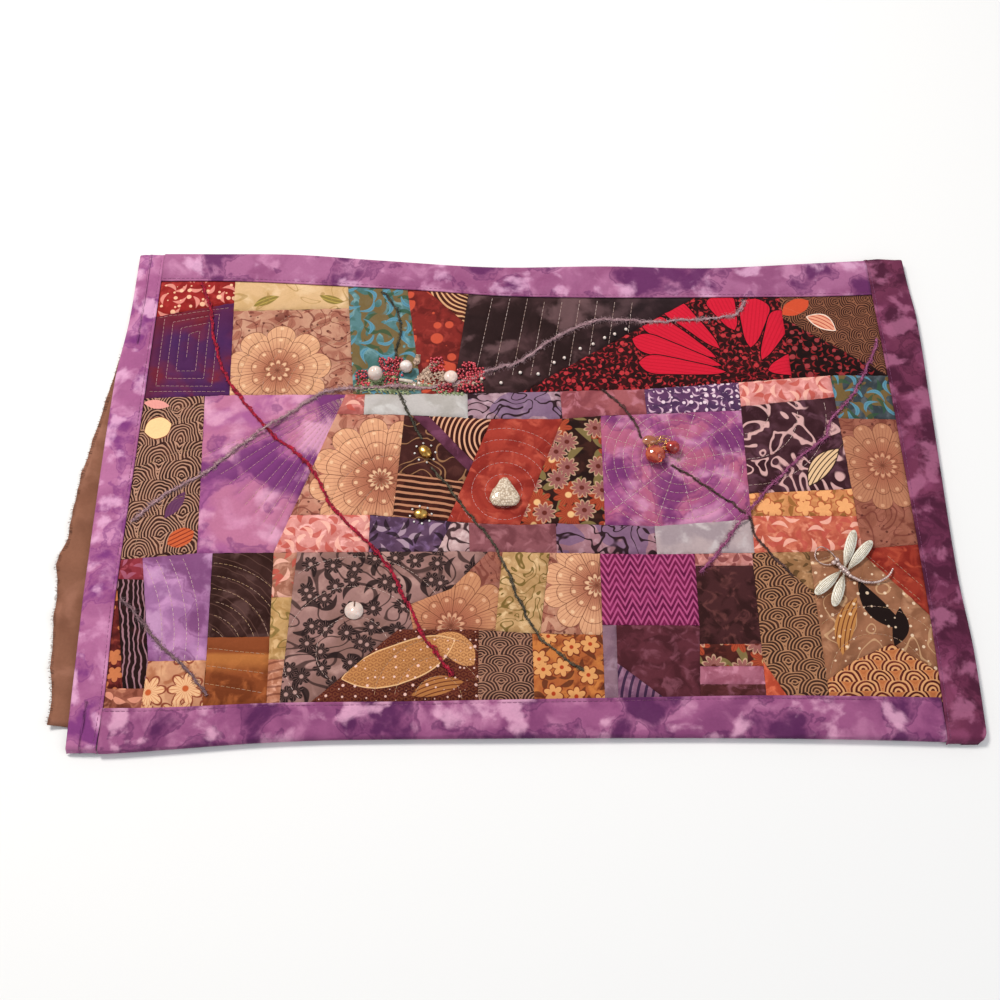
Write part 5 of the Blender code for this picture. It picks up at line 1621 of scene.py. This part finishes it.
for number in range(5):
    start = chance.uniform(0, math.tau)
    centre = (357 + chance.uniform(-3, 3), 199 + chance.uniform(-3, 3))
    run = []
    for k in range(26):
        turn = start + k * 0.36
        reach = 5.5 + 2.6 * math.sin(k * 0.7 + number * 1.3)
        u, v = centre[0] + reach * math.cos(turn), centre[1] + 0.8 * reach * math.sin(turn)
        run.append((u, v, top_of(u, v) + 1.2 + 2.0 * abs(math.sin(k * 0.41 + number)), 1.0))
    wires.append(run)
piece = thread_piece("gilt_wire", wires, 0.2, gilt, 2)


# Dragonfly
# A cast charm in bright pewter: four veined wings, a ridged thorax with two eyes, and a thin
# tail in rings that curls up at its end, sewn on at the thorax.
PEWTER_WINGS = (((466.6, 112.0), (476.5, 138.5)), ((467.8, 110.4), (486.5, 131)),
                ((465.0, 111.2), (446.5, 95)), ((466.6, 109.6), (457, 87)))
TAIL = ((468, 109.5), (471, 107), (478, 103.6), (487, 103.6), (494, 107.6), (497.5, 112.5))
WIRE_LOOP = ((466.5, 112.5), (463, 119.5), (459, 125), (454, 127.5), (450.5, 124.5), (450, 119.5),
             (453.5, 116), (458, 115.2), (462, 116.5))
pewter, shader, at = patchy_finish("bright_pewter", "d8c0b8", "7a5c5c", 1.6, 4.0, 0.4, 0.75, 0.36, 0.5)
feed(shader.inputs["Roughness"], soft_step(cloud(at, 0.7, 2.0), 0.3, 0.7, 0.22, 0.45, "LINEAR"))
ivory = patchy_finish("ivory_enamel", "f8f2e2", "dcd2ba", 1.1, 4.0, 0.35, 0.7, 0.4, Coat_Weight=0.3,
                      Coat_Roughness=0.2)[0]
charm_z = max(top_of(466.5, 111), top_of(470, 115), top_of(460, 104)) + 0.5
bm = bmesh.new()
veins = []
for root, tip in PEWTER_WINGS:
    length = math.dist(root, tip)
    turn = math.atan2(tip[1] - root[1], tip[0] - root[0])
    before = set(bm.verts)
    bmesh.ops.create_circle(bm, cap_ends=True, segments=40, radius=1.0)
    fresh = [vert for vert in bm.verts if vert not in before]
    web = fresh[0].link_faces[0]
    bmesh.ops.inset_region(bm, faces=[web], thickness=0.16)
    for vert in web.verts:
        vert.co.z -= 0.1
    outer = {vert for vert in bm.verts if vert not in before}
    plate = [face for face in bm.faces if all(vert in outer for vert in face.verts)]
    raised_faces = bmesh.ops.extrude_face_region(bm, geom=plate)["geom"]
    for vert in (item for item in raised_faces if isinstance(item, bmesh.types.BMVert)):
        vert.co.z += 0.35
    for vert in (item for item in bm.verts if item not in before):
        x, y, z = vert.co
        wide = 4.1 * (0.78 + 0.22 * x) * (0.4 + 0.6 * min(1.0, (x + 1.02) / 0.8))
        along = (x + 1) * 0.5 * length
        u = root[0] + along * math.cos(turn) - y * wide * math.sin(turn)
        v = root[1] + along * math.sin(turn) + y * wide * math.cos(turn)
        vert.co = place(u, v, charm_z + 1.0 + 1.4 * z + 0.02 * along)
    for lean in (-0.55, -0.28, 0.0, 0.28, 0.55):
        run = []
        for k in range(7):
            t = 0.06 + 0.88 * k / 6
            y = lean * 4.1 * (0.44 + 0.56 * t) * math.sin(math.pi * (0.12 + 0.76 * t)) * 1.2
            u = root[0] + t * length * math.cos(turn) - y * math.sin(turn)
            v = root[1] + t * length * math.sin(turn) + y * math.cos(turn)
            run.append((u, v, charm_z + 1.42 + 0.02 * t * length, 1.0))
        veins.append(run)
bmesh.ops.recalc_face_normals(bm, faces=bm.faces)
piece = new_piece("dragonfly_wings", bm, ivory, ("dragonfly_charm",))
piece = thread_piece("dragonfly_veins", veins, 0.1, thread_finish("vein_wire", "8a7258", "6a5644"), 1)
bm = bmesh.new()
thorax_turn = math.radians(-50)
for along, wide, tall in ((-5.2, 1.2, 1.3), (-2.6, 1.7, 1.7), (0.2, 2.0, 2.0), (2.9, 1.6, 1.6),
                          (5.0, 1.2, 1.2)):
    pearl(bm, 466.5 + along * math.cos(thorax_turn), 111 + along * math.sin(thorax_turn), wide, tall,
          charm_z + 1.6, 24, 14, 0.05)
for side in (-1, 1):
    pearl(bm, 461.6 + side * 1.1, 117.0 + side * 1.0, 1.5, 1.4, charm_z + 1.9, 20, 12)
piece = new_piece("dragonfly_thorax", bm, pewter)
loop = smooth_route(WIRE_LOOP, 0.6)
run = [(p.x, p.y, max(top_of(*p) + 0.5, charm_z + 0.4), 1.0) for p in loop]
piece = thread_piece("dragonfly_loop", [run], 0.34, pewter, 2)
tail = smooth_route(TAIL, 0.45)
run = [(p.x, p.y, max(top_of(*p) + 1.0, charm_z + 0.6),
        (1.15 - 0.6 * i / len(tail)) * (1 + 0.22 * math.cos(i * 1.9))) for i, p in enumerate(tail)]
piece = thread_piece("dragonfly_tail", [run], 0.95, pewter, 3)
